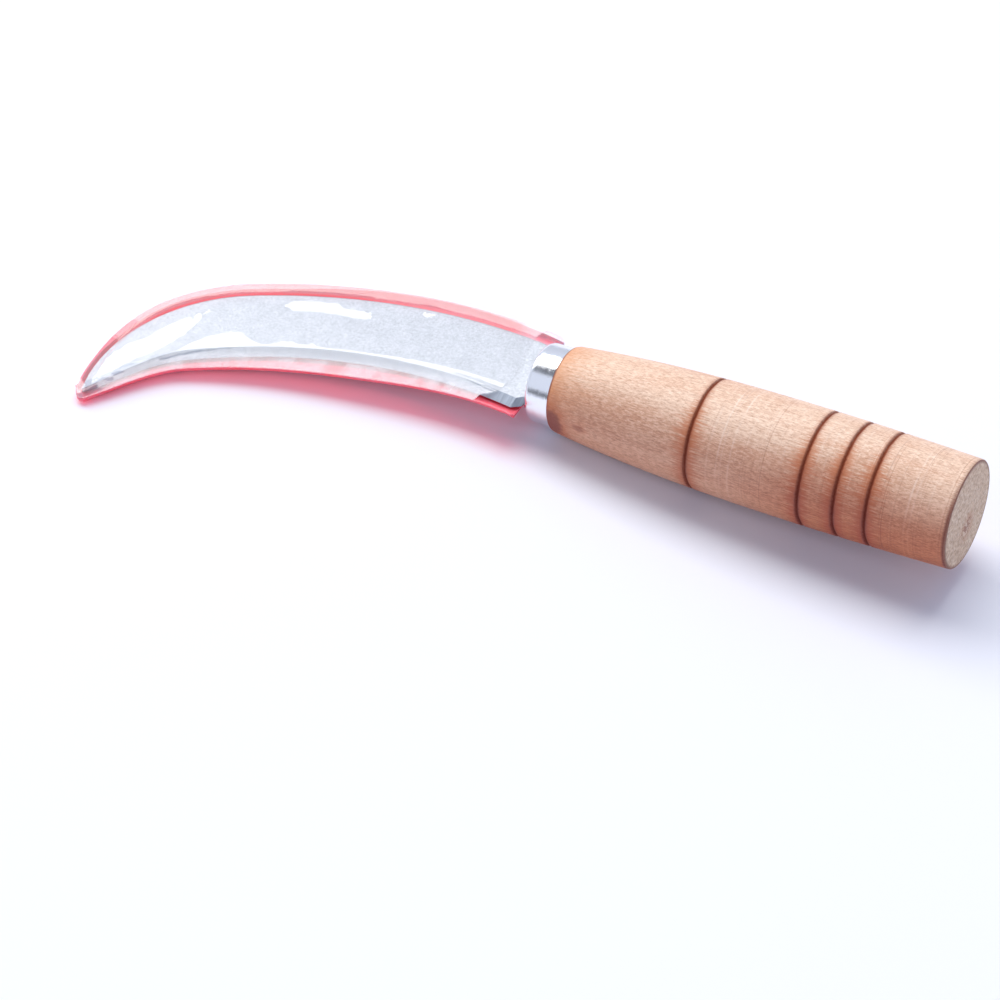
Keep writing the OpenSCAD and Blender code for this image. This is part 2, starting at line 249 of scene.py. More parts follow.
def rounded(section: Array, radius: float, steps: int = 4) -> Array:
    """Closed outlines with each corner replaced by a short curve.

    Each corner P becomes the quadratic curve from P towards its last neighbour, over P, to P towards the next one,
    starting radius away or at 0.45 of the side, whichever is less.

    Args:
        section: Array (rows, corners, k).
        radius: Length taken off each side at a corner.
        steps: Points on each curve.

    Returns:
        Array (rows, corners * steps, k).
    """
    before, after = np.roll(section, 1, 1), np.roll(section, -1, 1)

    def toward(other: Array) -> Array:
        """Start of the curve on the side that leads to other.

        Args:
            other: The neighbours of the corners.

        Returns:
            Array of the shape of section.
        """
        side = other - section
        length = np.maximum(np.linalg.norm(side, axis=-1, keepdims=True), 1e-9)
        return section + side / length * np.minimum(radius, 0.45 * length)

    a, b = toward(before)[:, :, None], toward(after)[:, :, None]
    u = np.linspace(0, 1, steps)[None, None, :, None]
    curve = a * (1 - u) ** 2 + 2 * section[:, :, None] * u * (1 - u) + b * u**2
    return curve.reshape(section.shape[0], -1, section.shape[2])


@dataclass(frozen=True)
class Outline:
    """Plan of the blade: a long spine arc with a nose arc, and an edge arc with a cubic tail to the tip."""

    blade_reach: float = 122.6
    spine_rise: float = 14.8
    blade_w: float = 26.4
    crest_back: float = 22.4
    spine_r: float = 167.0
    nose_r: float = 46.0
    edge_r: float = 143.0
    tip_drop: float = 59.2
    tip_slope: float = 52.0
    shoulder_x: float = -8.2
    bend_share: float = 0.183
    tail_bulge: float = 1.02

    @property
    def crest_x(self) -> float:
        """Place of the spine's crest."""
        return self.shoulder_x - self.crest_back

    @property
    def nose_x(self) -> float:
        """Farthest place of the nose."""
        return self.shoulder_x - self.blade_reach

    @property
    def spine_c(self) -> Array:
        """Centre of the long spine arc."""
        return np.array([self.crest_x, self.spine_rise - self.spine_r])

    @property
    def shoulder_a(self) -> float:
        """Angle at which the long arc becomes the nose arc."""
        return math.degrees(math.acos((self.nose_x + self.nose_r - self.crest_x) / (self.spine_r - self.nose_r)))

    @property
    def nose_c(self) -> Array:
        """Centre of the nose arc."""
        return self.spine_c + (self.spine_r - self.nose_r) * turn(self.shoulder_a)

    @property
    def tip_a(self) -> float:
        """Angle of the tip on the nose arc."""
        return 180 + math.degrees(math.asin((self.nose_c[1] + self.tip_drop) / self.nose_r))

    @property
    def tip(self) -> Array:
        """The blade's tip."""
        return self.nose_c + self.nose_r * turn(self.tip_a)

    @property
    def edge_c(self) -> Array:
        """Centre of the cutting edge's arc."""
        return np.array([self.crest_x, self.spine_rise - self.blade_w - self.edge_r])

    @property
    def bend_a(self) -> float:
        """Angle at which the edge's arc becomes its tail."""
        bend_x = self.nose_x + self.bend_share * self.blade_reach
        return math.degrees(math.acos((bend_x - self.edge_c[0]) / self.edge_r))

    @property
    def tail(self) -> Array:
        """The four control points of the edge's tail.

        Returns:
            Array (4, 2), from the bend to the tip.
        """
        bend = self.edge_c + self.edge_r * turn(self.bend_a)
        pull = np.linalg.norm(self.tip - bend) / 3
        return np.array([bend, bend + pull * turn(self.bend_a + 90), self.tip + pull * turn(self.tip_slope), self.tip])

    def spine(self, x: float, t: Array, off: Numbers = 0.0) -> Array:
        """Points of the spine's curve, moved outwards.

        Both arcs are walked by length: the angle grows by s / radius on each.

        Args:
            x: Where the walk starts.
            t: Share of the walk, 1 at the tip.
            off: Distance moved outwards.

        Returns:
            Array of the shape of t with xy on a new last axis.
        """
        start = math.degrees(math.acos((x - self.spine_c[0]) / self.spine_r))
        first = math.radians(self.shoulder_a - start) * self.spine_r
        second = math.radians(self.tip_a - self.shoulder_a) * self.nose_r
        s = np.asarray(t) * (first + second)
        on_long = s < first
        angle = np.where(
            on_long, start + np.degrees(s / self.spine_r), self.shoulder_a + np.degrees((s - first) / self.nose_r)
        )
        radius = np.where(on_long, self.spine_r, self.nose_r) + off
        centre = np.where(on_long[..., None], self.spine_c, self.nose_c)
        return centre + radius[..., None] * turn(angle)

    def edge(self, x: float, t: Array, off: Numbers = 0.0) -> Array:
        """Points of the cutting edge's curve, moved away from the blade.

        The first share of t runs along the arc, the rest along the cubic tail.

        Args:
            x: Where the walk starts.
            t: Share of the walk, 1 at the tip.
            off: Distance moved away from the blade.

        Returns:
            Array of the shape of t with xy on a new last axis.
        """
        t, off = np.broadcast_arrays(np.asarray(t, float), np.asarray(off, float))
        start = math.degrees(math.acos((x - self.edge_c[0]) / self.edge_r))
        arc = math.radians(self.bend_a - start) * self.edge_r
        tail = self.tail
        share = arc / (arc + np.linalg.norm(tail[3] - tail[0]) * self.tail_bulge)
        on_arc = self.edge_c + (self.edge_r - off)[..., None] * turn(start + (self.bend_a - start) * t / share)
        u = np.clip((t - share) / (1 - share), 0, 1)[..., None]
        cubic = tail[0] * (1 - u) ** 3 + 3 * tail[1] * u * (1 - u) ** 2 + 3 * tail[2] * u**2 * (1 - u) + tail[3] * u**3
        a, b, c = np.diff(tail, axis=0)
        way = unit(a * (1 - u) ** 2 + 2 * b * u * (1 - u) + c * u**2)
        side = np.stack([-way[..., 1], way[..., 0]], -1)
        return np.where((t < share)[..., None], on_arc, cubic + off[..., None] * side)


OUTLINE = Outline()


@dataclass(frozen=True)
class Texture:
    """A noise: how often it changes per unit of length along each axis, its detail and its roughness."""

    stretch: Triple
    detail: float = 2.0
    rough: float = 0.5


class Graph:
    """Short forms for the nodes of one material, or of the world."""

    def __init__(self, owner: Union[Material, bpy.types.World]) -> None:
        """Empties the owner's node tree.

        Args:
            owner: The material or world that the nodes belong to.
        """
        self.owner = owner
        owner.use_nodes = True
        self.tree = owner.node_tree
        self.tree.nodes.clear()

    def put(self, socket: Socket, value: Value) -> None:
        """Links a socket, or sets its value.

        Args:
            socket: Input of a node.
            value: A number, a vector, a colour or another node's output.
        """
        if isinstance(value, Socket):
            self.tree.links.new(value, socket)
        elif isinstance(value, (tuple, list)) and len(value) == 3 and len(getattr(socket, "default_value", ())) == 4:
            socket.default_value = (*value, 1.0)
        else:
            socket.default_value = value

    def node(self, kind: str, inputs: Optional[dict] = None, **settings: object) -> bpy.types.Node:
        """Adds a node, sets its properties, then its inputs by name or number.

        Args:
            kind: Type of the node, without ShaderNode.
            inputs: Values by the input's name or number.
            **settings: The node's properties.

        Returns:
            The new node.
        """
        made = self.tree.nodes.new("ShaderNode" + kind)
        for key, value in settings.items():
            setattr(made, key, value)
        for key, value in (inputs or {}).items():
            self.put(made.inputs[key], value)
        return made

    def math(self, operation: str, *values: Value) -> Socket:
        """Result of a Math node."""
        return self.node("Math", dict(enumerate(values)), operation=operation).outputs[0]

    def times(self, value: Value, *factors: Value) -> Socket:
        """Product of the value and all the factors.

        Args:
            value: First number.
            *factors: What it is multiplied by, in order.

        Returns:
            The product.
        """
        for factor in factors:
            value = self.math("MULTIPLY", value, factor)
        return value

    def line(self, value: Value, slope: Value, start: Value) -> Socket:
        """value * slope + start."""
        return self.math("MULTIPLY_ADD", value, slope, start)

    def most(self, first: Value, second: Value) -> Socket:
        """The greater of two values."""
        return self.math("MAXIMUM", first, second)

    def far(self, a: Value, b: Value) -> Socket:
        """Root of a^2 + b^2."""
        return self.math("SQRT", self.math("ADD", self.times(a, a), self.times(b, b)))

    def vector(self, operation: str, *values: Value) -> Socket:
        """Vector result of a Vector Math node."""
        return self.node("VectorMath", dict(enumerate(values)), operation=operation).outputs[0]

    def noise(self, vector: Value, look: Texture) -> Socket:
        """Value between 0 and 1 of a noise.

        Args:
            vector: Where it is read.
            look: The noise's texture.

        Returns:
            The noise.
        """
        place = self.vector("MULTIPLY", vector, look.stretch)
        inputs = {"Vector": place, "Scale": 1.0, "Detail": look.detail, "Roughness": look.rough}
        return self.node("TexNoise", inputs).outputs["Fac"]

    def remap(self, value: Value, low: float, high: float, to_low: float = 0.0, to_high: float = 1.0) -> Socket:
        """Value taken smoothly from low..high to to_low..to_high, held at both ends."""
        inputs = {"Value": value, "From Min": low, "From Max": high, "To Min": to_low, "To Max": to_high}
        return self.node("MapRange", inputs, interpolation_type="SMOOTHSTEP").outputs["Result"]

    def mix(self, share: Value, first: Value, second: Value, blend: str = "MIX") -> Socket:
        """Colour between first and second."""
        inputs = {0: share, 6: first, 7: second}
        return self.node("Mix", inputs, data_type="RGBA", blend_type=blend).outputs[2]

    def layers(self, colour: Value, *rows: tuple) -> Socket:
        """Colour under further layers of paint.

        Args:
            colour: The ground.
            rows: For each layer the value that it follows, where on that value it starts and where it is full, its
                share where it is full, and its colour.

        Returns:
            The colour on top.
        """
        for value, start, full, share, tint in rows:
            colour = self.mix(self.remap(value, start, full, 0.0, share), colour, tint)
        return colour

    def tinted(self, colour: Colour, value: Value) -> Socket:
        """Colour times a value."""
        grey = self.node("CombineColor", dict.fromkeys(range(3), value)).outputs[0]
        return self.mix(1.0, colour, grey, "MULTIPLY")

    def blend(self, share: Value, first: Socket, second: Socket) -> Socket:
        """Shader between first and second."""
        return self.node("MixShader", {0: share, 1: first, 2: second}).outputs[0]

    def bell(self, value: Value, at: Value, width: Value) -> Socket:
        """exp(-((value - at) / width)^2)."""
        step = self.math("DIVIDE", self.math("SUBTRACT", value, at), width)
        return self.math("EXPONENT", self.times(step, step, -1.0))

    def tool(self) -> Socket:
        """Object coordinates turned back into the tool's frame, in millimetres.

        Returns:
            The place of a shaded point.
        """
        inputs = {
            "Vector": self.node("TexCoord").outputs["Object"],
            "Location": [c / 1000 for c in POSTURE.shift],
            "Rotation": (0, -POSTURE.pitch_rad, 0),
            "Scale": (0.001, 0.001, 0.001),
        }
        return self.node("Mapping", inputs, vector_type="TEXTURE").outputs[0]

    def mark(self) -> Socket:
        """The mark that the mesh carries at each point."""
        return self.node("Attribute", attribute_name="lay").outputs["Vector"]

    def split(self, vector: Value) -> tuple:
        """The three numbers of a vector."""
        return tuple(self.node("SeparateXYZ", {0: vector}).outputs)

    def bump(self, height: Value, depth_mm: float) -> Socket:
        """Normal of a relief whose height of 1 stands for depth_mm."""
        return self.node("Bump", {"Height": height, "Distance": depth_mm / 1000, "Strength": 1.0}).outputs[0]

    def surface(self, **inputs: Value) -> Socket:
        """A Principled shader; underscores in a name stand for spaces."""
        return self.node("BsdfPrincipled", {k.replace("_", " "): v for k, v in inputs.items()}).outputs[0]

    def end(self, shader: Socket) -> Material:
        """Puts the shader on the output and gives the material."""
        self.node("OutputMaterial", {"Surface": shader})
        return self.owner


class Finish:
    """A finish that makes one material the first time it is asked for."""

    made: dict[str, Material] = {}

    def material(self) -> Material:
        """The finish's material.

        Returns:
            The same material each time.
        """
        key = type(self).__name__
        if key not in Finish.made:
            Finish.made[key] = self.mixed(Graph(bpy.data.materials.new(key)))
        return Finish.made[key]

    def mixed(self, g: Graph) -> Material:
        """Builds the nodes; each finish has its own."""
        raise NotImplementedError


@dataclass(frozen=True)
class TurnedWood(Finish):
    """Unvarnished pale wood off the lathe, with burnt grooves and a toasted front end."""

    pale: Colour = paint(242, 207, 178)
    tan: Colour = paint(226, 178, 145)
    fleck: Colour = paint(168, 112, 80)
    fibre: Colour = paint(255, 228, 205)
    ring: Colour = paint(255, 236, 220)
    toast: Colour = paint(200, 112, 56)
    warm: Colour = paint(222, 142, 80)
    burnt: Colour = paint(124, 50, 12)
    knot: Colour = paint(138, 64, 48)
    shade: Colour = paint(206, 128, 76)
    end_grain: Colour = paint(220, 185, 150)
    end_ring: Colour = paint(172, 128, 92)
    end_pale: Colour = paint(244, 226, 206)
    pith: Colour = paint(196, 140, 100)
    core: Colour = paint(150, 74, 30)
    figure: Texture = Texture((0.018, 0.11, 0.11), 3.0, 0.55)
    streaks: Texture = Texture((0.09, 1.3, 1.3), 4.0, 0.6)
    fuzz: Texture = Texture((0.62, 2.3, 2.3), 4.0, 0.75)
    pores: Texture = Texture((0.55, 3.8, 3.8), 2.0, 0.6)
    fine: Texture = Texture((2.1, 0.012, 0.012), 2.0, 0.7)
    wide: Texture = Texture((0.33, 0.004, 0.004), 1.0)
    breaks: Texture = Texture((0.9, 0.16, 0.16))
    feather: Texture = Texture((0.16, 2.2, 2.2), 2.0, 0.6)
    ragged: Texture = Texture((0.7, 1.3, 1.3))
    wobble: Texture = Texture((0.2, 0.35, 0.35), 3.0)
    blotch: Texture = Texture((0.5, 0.55, 0.55), 4.0, 0.7)
    grit: Texture = Texture((0.5, 1.05, 1.05), 4.0, 0.8)
    bright_way: Pair = (0.743, 0.669)
    ring_w: float = 0.26
    rings: Pairs = (
        (52.4, 0.4), (55.4, 0.9), (56.6, 0.5), (59.1, 0.9), (63.0, 0.35), (68.5, 0.3), (74.0, 0.3), (83.6, 0.5),
        (86.0, 0.35), (94.0, 0.6), (97.2, 0.35), (103.5, 0.35), (107.6, 0.3), (111.5, 0.9), (112.9, 0.7), (117.0, 0.35),
    )
    knots: tuple[tuple[Triple, Triple, float], ...] = (
        ((2.0, -12.6, -2.0), (3.6, 9.0, 5.2), 0.85), ((11.2, -14.0, 0.4), (1.9, 9.0, 1.1), 0.4),
    )

    def mixed(self, g: Graph) -> Material:
        """Grain along x, lathe rings across it, burns, knots, the end grain and painted shade on the lower side.

        Args:
            g: Graph that the nodes go into.

        Returns:
            The material.
        """
        place = g.tool()
        s, y, z = g.split(place)
        # up says how far a point faces the lamp; the painted shade laid on the wood below follows it
        up = g.line(z, self.bright_way[1], g.times(y, self.bright_way[0]))
        looks = (self.figure, self.streaks, self.fuzz, self.pores, self.fine)
        figure, streak, fuzz, pore, fine = (g.noise(place, look) for look in looks)
        colour = g.layers(
            self.pale, (figure, 0.36, 0.66, 1.0, self.tan), (streak, 0.42, 0.74, 0.20, self.fleck),
            (fuzz, 0.44, 0.66, 0.40, self.fleck), (fuzz, 0.52, 0.36, 0.55, self.fibre),
            (pore, 0.57, 0.70, 0.60, self.fleck),
        )
        colour = self.turned(g, place, s, fine, colour)
        colour, burn = self.burns(g, place, s, up, colour)
        colour = self.knotted(g, place, colour)
        # The rim of the butt is dark, with painted shade making it darker on the side away from the lamp, and its face
        # shows the end grain
        butt = HANDLE_LENGTH
        dark_rim_and_shade = g.times(g.remap(s, butt - 1.5, butt - 0.5), g.remap(up, 12.0, -4.0, 0.25, 0.85))
        colour = g.mix(dark_rim_and_shade, colour, self.burnt)
        colour = g.mix(g.remap(s, butt - 0.3, butt - 0.12), colour, self.end_face(g, place, y, z))
        # Painted shade: the side away from the lamp is darkened, more so towards the butt
        low = g.times(g.remap(up, 7.0, -13.0), g.remap(s, 50.0, 90.0, 0.55, 0.90), g.remap(s, butt - 0.2, butt - 0.5))
        colour = g.mix(low, colour, self.shade, "MULTIPLY")
        relief = g.line(pore, -1.4, g.line(fine, 0.9, streak))
        rough = g.most(g.line(pore, 0.25, 0.38), burn)
        return g.end(g.surface(Base_Color=colour, Roughness=rough, Specular_IOR_Level=0.7, Normal=g.bump(relief, 0.06)))

    def turned(self, g: Graph, place: Socket, s: Socket, fine: Socket, colour: Socket) -> Socket:
        """Colour with the tool's pale and dark rings, one number along x each, fainter towards the ferrule.

        Args:
            g: Graph that the nodes go into.
            place: Place in the tool's frame.
            s: Distance along the handle.
            fine: Noise that gives the rings.
            colour: Colour so far.

        Returns:
            The colour with the rings.
        """
        strength = g.times(g.remap(s, 40.0, 58.0, 0.25, 1.0), g.remap(g.noise(place, self.wide), 0.40, 0.60, 0.25, 1.0))
        pale = g.times(g.remap(fine, 0.58, 0.70), strength)
        for at, level in self.rings:
            pale = g.most(pale, g.times(g.bell(s, at, self.ring_w), level * 1.3))
        broken = g.remap(g.noise(place, self.breaks), 0.35, 0.6, 0.25, 1.0)
        colour = g.mix(g.times(pale, broken, 0.36), colour, self.ring)
        dark = g.times(g.remap(fine, 0.46, 0.32), strength, g.remap(s, 99.0, 104.0, 0.30, 0.60))
        return g.mix(dark, colour, self.fleck)

    def burns(self, g: Graph, place: Socket, s: Socket, up: Socket, colour: Socket) -> tuple[Socket, Socket]:
        """Colour with the burns, and the lines burnt in the grooves.

        Each groove has a dark line and a toasted band that follows the grain, with painted shade making the band wider
        and stronger on the side away from the lamp. The first few millimetres behind the ferrule are warm, with a dark
        rim.

        Args:
            g: Graph that the nodes go into.
            place: Place in the tool's frame.
            s: Distance along the handle.
            up: Height towards the bright side.
            colour: Colour so far.

        Returns:
            The colour with the burns, and the share of the lines.
        """
        feather = g.noise(place, self.feather)
        ragged = g.line(g.noise(place, self.ragged), 0.6, s)
        # Painted shade: the toasting round each groove reaches wider and is stronger on the side away from the lamp
        reach = g.times(g.most(g.line(feather, 13.0, -3.2), 1.5), g.remap(up, 13.0, -3.0, 0.30, 1.0))
        halo_and_shade, burn = 0.0, 0.0
        for groove in GROOVES:
            halo_and_shade = g.most(halo_and_shade, g.bell(s, groove, reach))
            burn = g.most(burn, g.bell(ragged, groove + 0.3, 0.78))
        colour = g.mix(g.times(halo_and_shade, g.remap(up, 15.0, 1.0, 0.45, 0.92)), colour, self.toast)
        colour = g.mix(g.times(burn, 0.97), colour, self.burnt)
        fade = g.math("DIVIDE", g.times(s, -1.0), g.most(g.line(feather, 20.0, -3.5), 0.6))
        colour = g.mix(g.times(g.math("EXPONENT", fade), 0.80), colour, self.warm)
        return g.layers(colour, (s, 1.0, 0.4, 0.85, self.burnt)), burn

    def knotted(self, g: Graph, place: Socket, colour: Socket) -> Socket:
        """Colour with the knots on the lower side, each at a place with a size and a strength.

        Args:
            g: Graph that the nodes go into.
            place: Place in the tool's frame.
            colour: Colour so far.

        Returns:
            The colour with the knots.
        """
        sway = g.node("TexNoise", {"Vector": place, "Scale": 0.8}).outputs["Color"]
        sway = g.vector("MULTIPLY", sway, (0.7, 0.0, 0.7))
        for at, size, strength in self.knots:
            away = g.vector("ADD", g.vector("DIVIDE", g.vector("SUBTRACT", place, at), size), sway)
            away = g.vector("SUBTRACT", away, (0.35, 0.0, 0.35))
            far = g.node("VectorMath", {0: away}, operation="LENGTH").outputs[1]
            colour = g.layers(
                colour, (far, 2.0, 0.9, 0.75 * strength, self.toast), (far, 1.2, 0.6, strength, self.knot)
            )
        return colour

    def end_face(self, g: Graph, place: Socket, y: Socket, z: Socket) -> Socket:
        """End grain: rings and grit round a pith below the middle, and a dark rim.

        Args:
            g: Graph that the nodes go into.
            place: Place in the tool's frame.
            y: Its y.
            z: Its z.

        Returns:
            The colour of the butt's face.
        """
        wobble, blotch, grit = (g.noise(place, look) for look in (self.wobble, self.blotch, self.grit))
        away = g.far(g.math("ADD", y, 0.3), g.math("ADD", z, 4.3))
        rings = g.math("SINE", g.times(g.line(wobble, 5.0, away), 3.3))
        face = g.layers(
            self.end_grain, (rings, -0.6, 1.0, 0.18, self.end_ring), (blotch, 0.45, 0.68, 0.55, self.end_ring),
            (grit, 0.50, 0.64, 0.75, self.end_ring), (grit, 0.50, 0.38, 0.60, self.end_pale),
        )
        face = g.mix(g.times(g.bell(away, 3.4, 1.3), g.remap(wobble, 0.35, 0.6, 0.1, 0.6)), face, self.pith)
        core = g.line(g.math("SUBTRACT", grit, 0.5), -20.0, away)
        return g.layers(face, (core, 2.2, 1.0, 0.85, self.core), (g.far(y, z), 14.2, 15.3, 0.85, self.burnt))


@dataclass(frozen=True)
class GroundSteel(Finish):
    """Satin steel sheet, with grind marks across the bevel."""

    flat: Colour = (0.475, 0.495, 0.53)
    bevel: Colour = (0.345, 0.385, 0.45)
    mottle: Texture = Texture((0.5, 0.5, 0.5), 4.0, 0.65)
    speck: Texture = Texture((1.3, 1.3, 1.3), 4.0, 0.75)
    rolled: Texture = Texture((0.35, 3.2, 0.0), 3.0, 0.6)
    ground: Texture = Texture((1.5, 0.12, 0.0), 3.0, 0.7)

    def mixed(self, g: Graph) -> Material:
        """Reads from the mesh's mark how far along the edge and across from it a point lies.

        Args:
            g: Graph that the nodes go into.

        Returns:
            The material.
        """
        place, mark = g.tool(), g.mark()
        mottle, speck = g.noise(place, self.mottle), g.noise(place, self.speck)
        rolled, ground = g.noise(mark, self.rolled), g.noise(mark, self.ground)
        on_bevel = g.remap(g.split(mark)[1], 3.0, 2.7)
        flat = g.tinted(self.flat, g.line(mottle, 0.42, g.line(speck, 1.1, 0.25)))
        bevel = g.tinted(self.bevel, g.remap(ground, 0.3, 0.7, 0.82, 1.12))
        rough = g.line(on_bevel, 0.14, g.line(mottle, 0.16, 0.28))
        lines = g.bump(g.mix(on_bevel, rolled, ground), 0.02)
        return g.end(g.surface(Base_Color=g.mix(on_bevel, flat, bevel), Metallic=1.0, Roughness=rough, Normal=lines))


@dataclass(frozen=True)
class Chrome(Finish):
    """Bright plating over a drawn cap."""

    tint: Colour = (0.88, 0.89, 0.92)
    drawn: Texture = Texture((4.0, 0.5, 0.5), 3.0, 0.6)
    smear: Texture = Texture((0.5, 0.5, 0.5), 3.0, 0.6)

    def mixed(self, g: Graph) -> Material:
        """Fine marks round the cap, and faint smears that dull the shine.

        Args:
            g: Graph that the nodes go into.

        Returns:
            The material.
        """
        place = g.tool()
        rough = g.remap(g.noise(place, self.smear), 0.3, 0.75, 0.08, 0.17)
        marks = g.bump(g.noise(place, self.drawn), 0.075)
        return g.end(g.surface(Base_Color=self.tint, Metallic=1.0, Roughness=rough, Normal=marks))


@dataclass(frozen=True)
class RedPlastic(Finish):
    """Satin moulded plastic that lets red light through."""

    red: Colour = paint(254, 108, 126)
    deep: Colour = paint(253, 92, 108)
    # thin is a painted highlight: the pale pink laid on the mouth's spine corner
    thin: Colour = paint(255, 226, 232)
    shadow: Colour = (1.0, 0.09, 0.17)
    slow: Texture = Texture((0.05, 0.05, 0.05))
    grain: Texture = Texture((1.7, 1.7, 1.7), 2.0, 0.6)

    def mixed(self, g: Graph) -> Material:
        """Fine even texture, slow changes of colour, and a painted highlight that pales the mouth's spine corner.

        Args:
            g: Graph that the nodes go into.

        Returns:
            The material.
        """
        place = g.tool()
        grain = g.noise(place, self.grain)
        colour = g.mix(g.remap(g.noise(place, self.slow), 0.35, 0.65), self.red, self.deep)
        along, across, _ = g.split(place)
        # Painted highlight: the spine corner of the mouth is painted pale pink, standing in for the lamp's gloss on it
        corner = g.times(g.remap(along, -29.0, -20.0), g.remap(across, 7.0, 12.0), 0.85)
        skin = g.surface(
            Base_Color=g.mix(corner, colour, self.thin), Roughness=g.line(grain, 0.16, 0.24), Specular_IOR_Level=0.9,
            Normal=g.bump(grain, 0.03), Subsurface_Weight=0.7, Subsurface_Radius=(1.0, 0.16, 0.2),
            Subsurface_Scale=0.0025,
        )
        # Part of the light goes straight through the thin walls, which leaves a red shadow
        through = g.node("BsdfTransparent", {"Color": self.shadow}).outputs[0]
        return g.end(g.blend(g.times(g.node("LightPath").outputs["Is Shadow Ray"], 0.9), skin, through))


@dataclass(frozen=True)
class ClearFilm(Finish):
    """Thin clear sheet: see-through, with a mirror skin and a faint haze."""

    haze: float = 0.02
    rough: float = 0.05
    refraction: float = 1.6
    milk: Colour = (0.95, 0.96, 1.0)
    cloud: Texture = Texture((0.16, 0.09, 0.09), 3.0, 0.6)
    swell: Texture = Texture((0.6, 0.6, 0.6))

    def mixed(self, g: Graph) -> Material:
        """Transparent, mixed with a white haze, then with gloss by how flat it is seen.

        Args:
            g: Graph that the nodes go into.

        Returns:
            The material.
        """
        place = g.tool()
        cloud, ripple = g.noise(place, self.cloud), g.bump(g.noise(place, self.swell), 0.01)
        # The stretched strip beside the flange is milky, and both rims shine more than the window
        from_spine, from_flange, _ = g.split(g.mark())
        strip = g.times(g.remap(from_flange, 6.4, 3.4), g.remap(cloud, 0.35, 0.65, 0.04, 0.22))
        strip = g.most(strip, g.remap(from_spine, 5.0, 4.2, 0.0, 0.04))
        rim = g.most(g.remap(from_spine, 4.8, 3.9), g.remap(from_flange, 7.0, 5.0))
        clear = g.node("BsdfTransparent", {"Color": (1, 1, 1)}).outputs[0]
        milk = g.node("BsdfDiffuse", {"Color": self.milk}).outputs[0]
        body = g.blend(g.math("ADD", strip, g.line(cloud, 0.04, self.haze)), clear, milk)
        skin = g.surface(Base_Color=(1, 1, 1), Metallic=1.0, Roughness=self.rough, Normal=ripple)
        # The sheet is thin: both its sides reflect as seen from the air
        inside = g.node("NewGeometry").outputs["Backfacing"]
        index = g.line(inside, 1 / self.refraction - self.refraction, self.refraction)
        shine = g.node("Fresnel", {"IOR": index, "Normal": ripple}).outputs[0]
        return g.end(g.blend(g.times(shine, g.line(rim, 0.12, 0.58)), body, skin))


@dataclass(frozen=True)
class Paper(Finish):
    """White paper with a cold cast."""

    white: Colour = (0.89, 0.895, 0.95)
    tooth: Texture = Texture((900.0, 900.0, 900.0))

    def mixed(self, g: Graph) -> Material:
        """Even, with a tooth too fine to see from a metre."""
        tooth = g.bump(g.noise(g.node("TexCoord").outputs["Object"], self.tooth), 0.02)
        return g.end(g.surface(Base_Color=self.white, Roughness=0.85, Specular_IOR_Level=0.1, Normal=tooth))


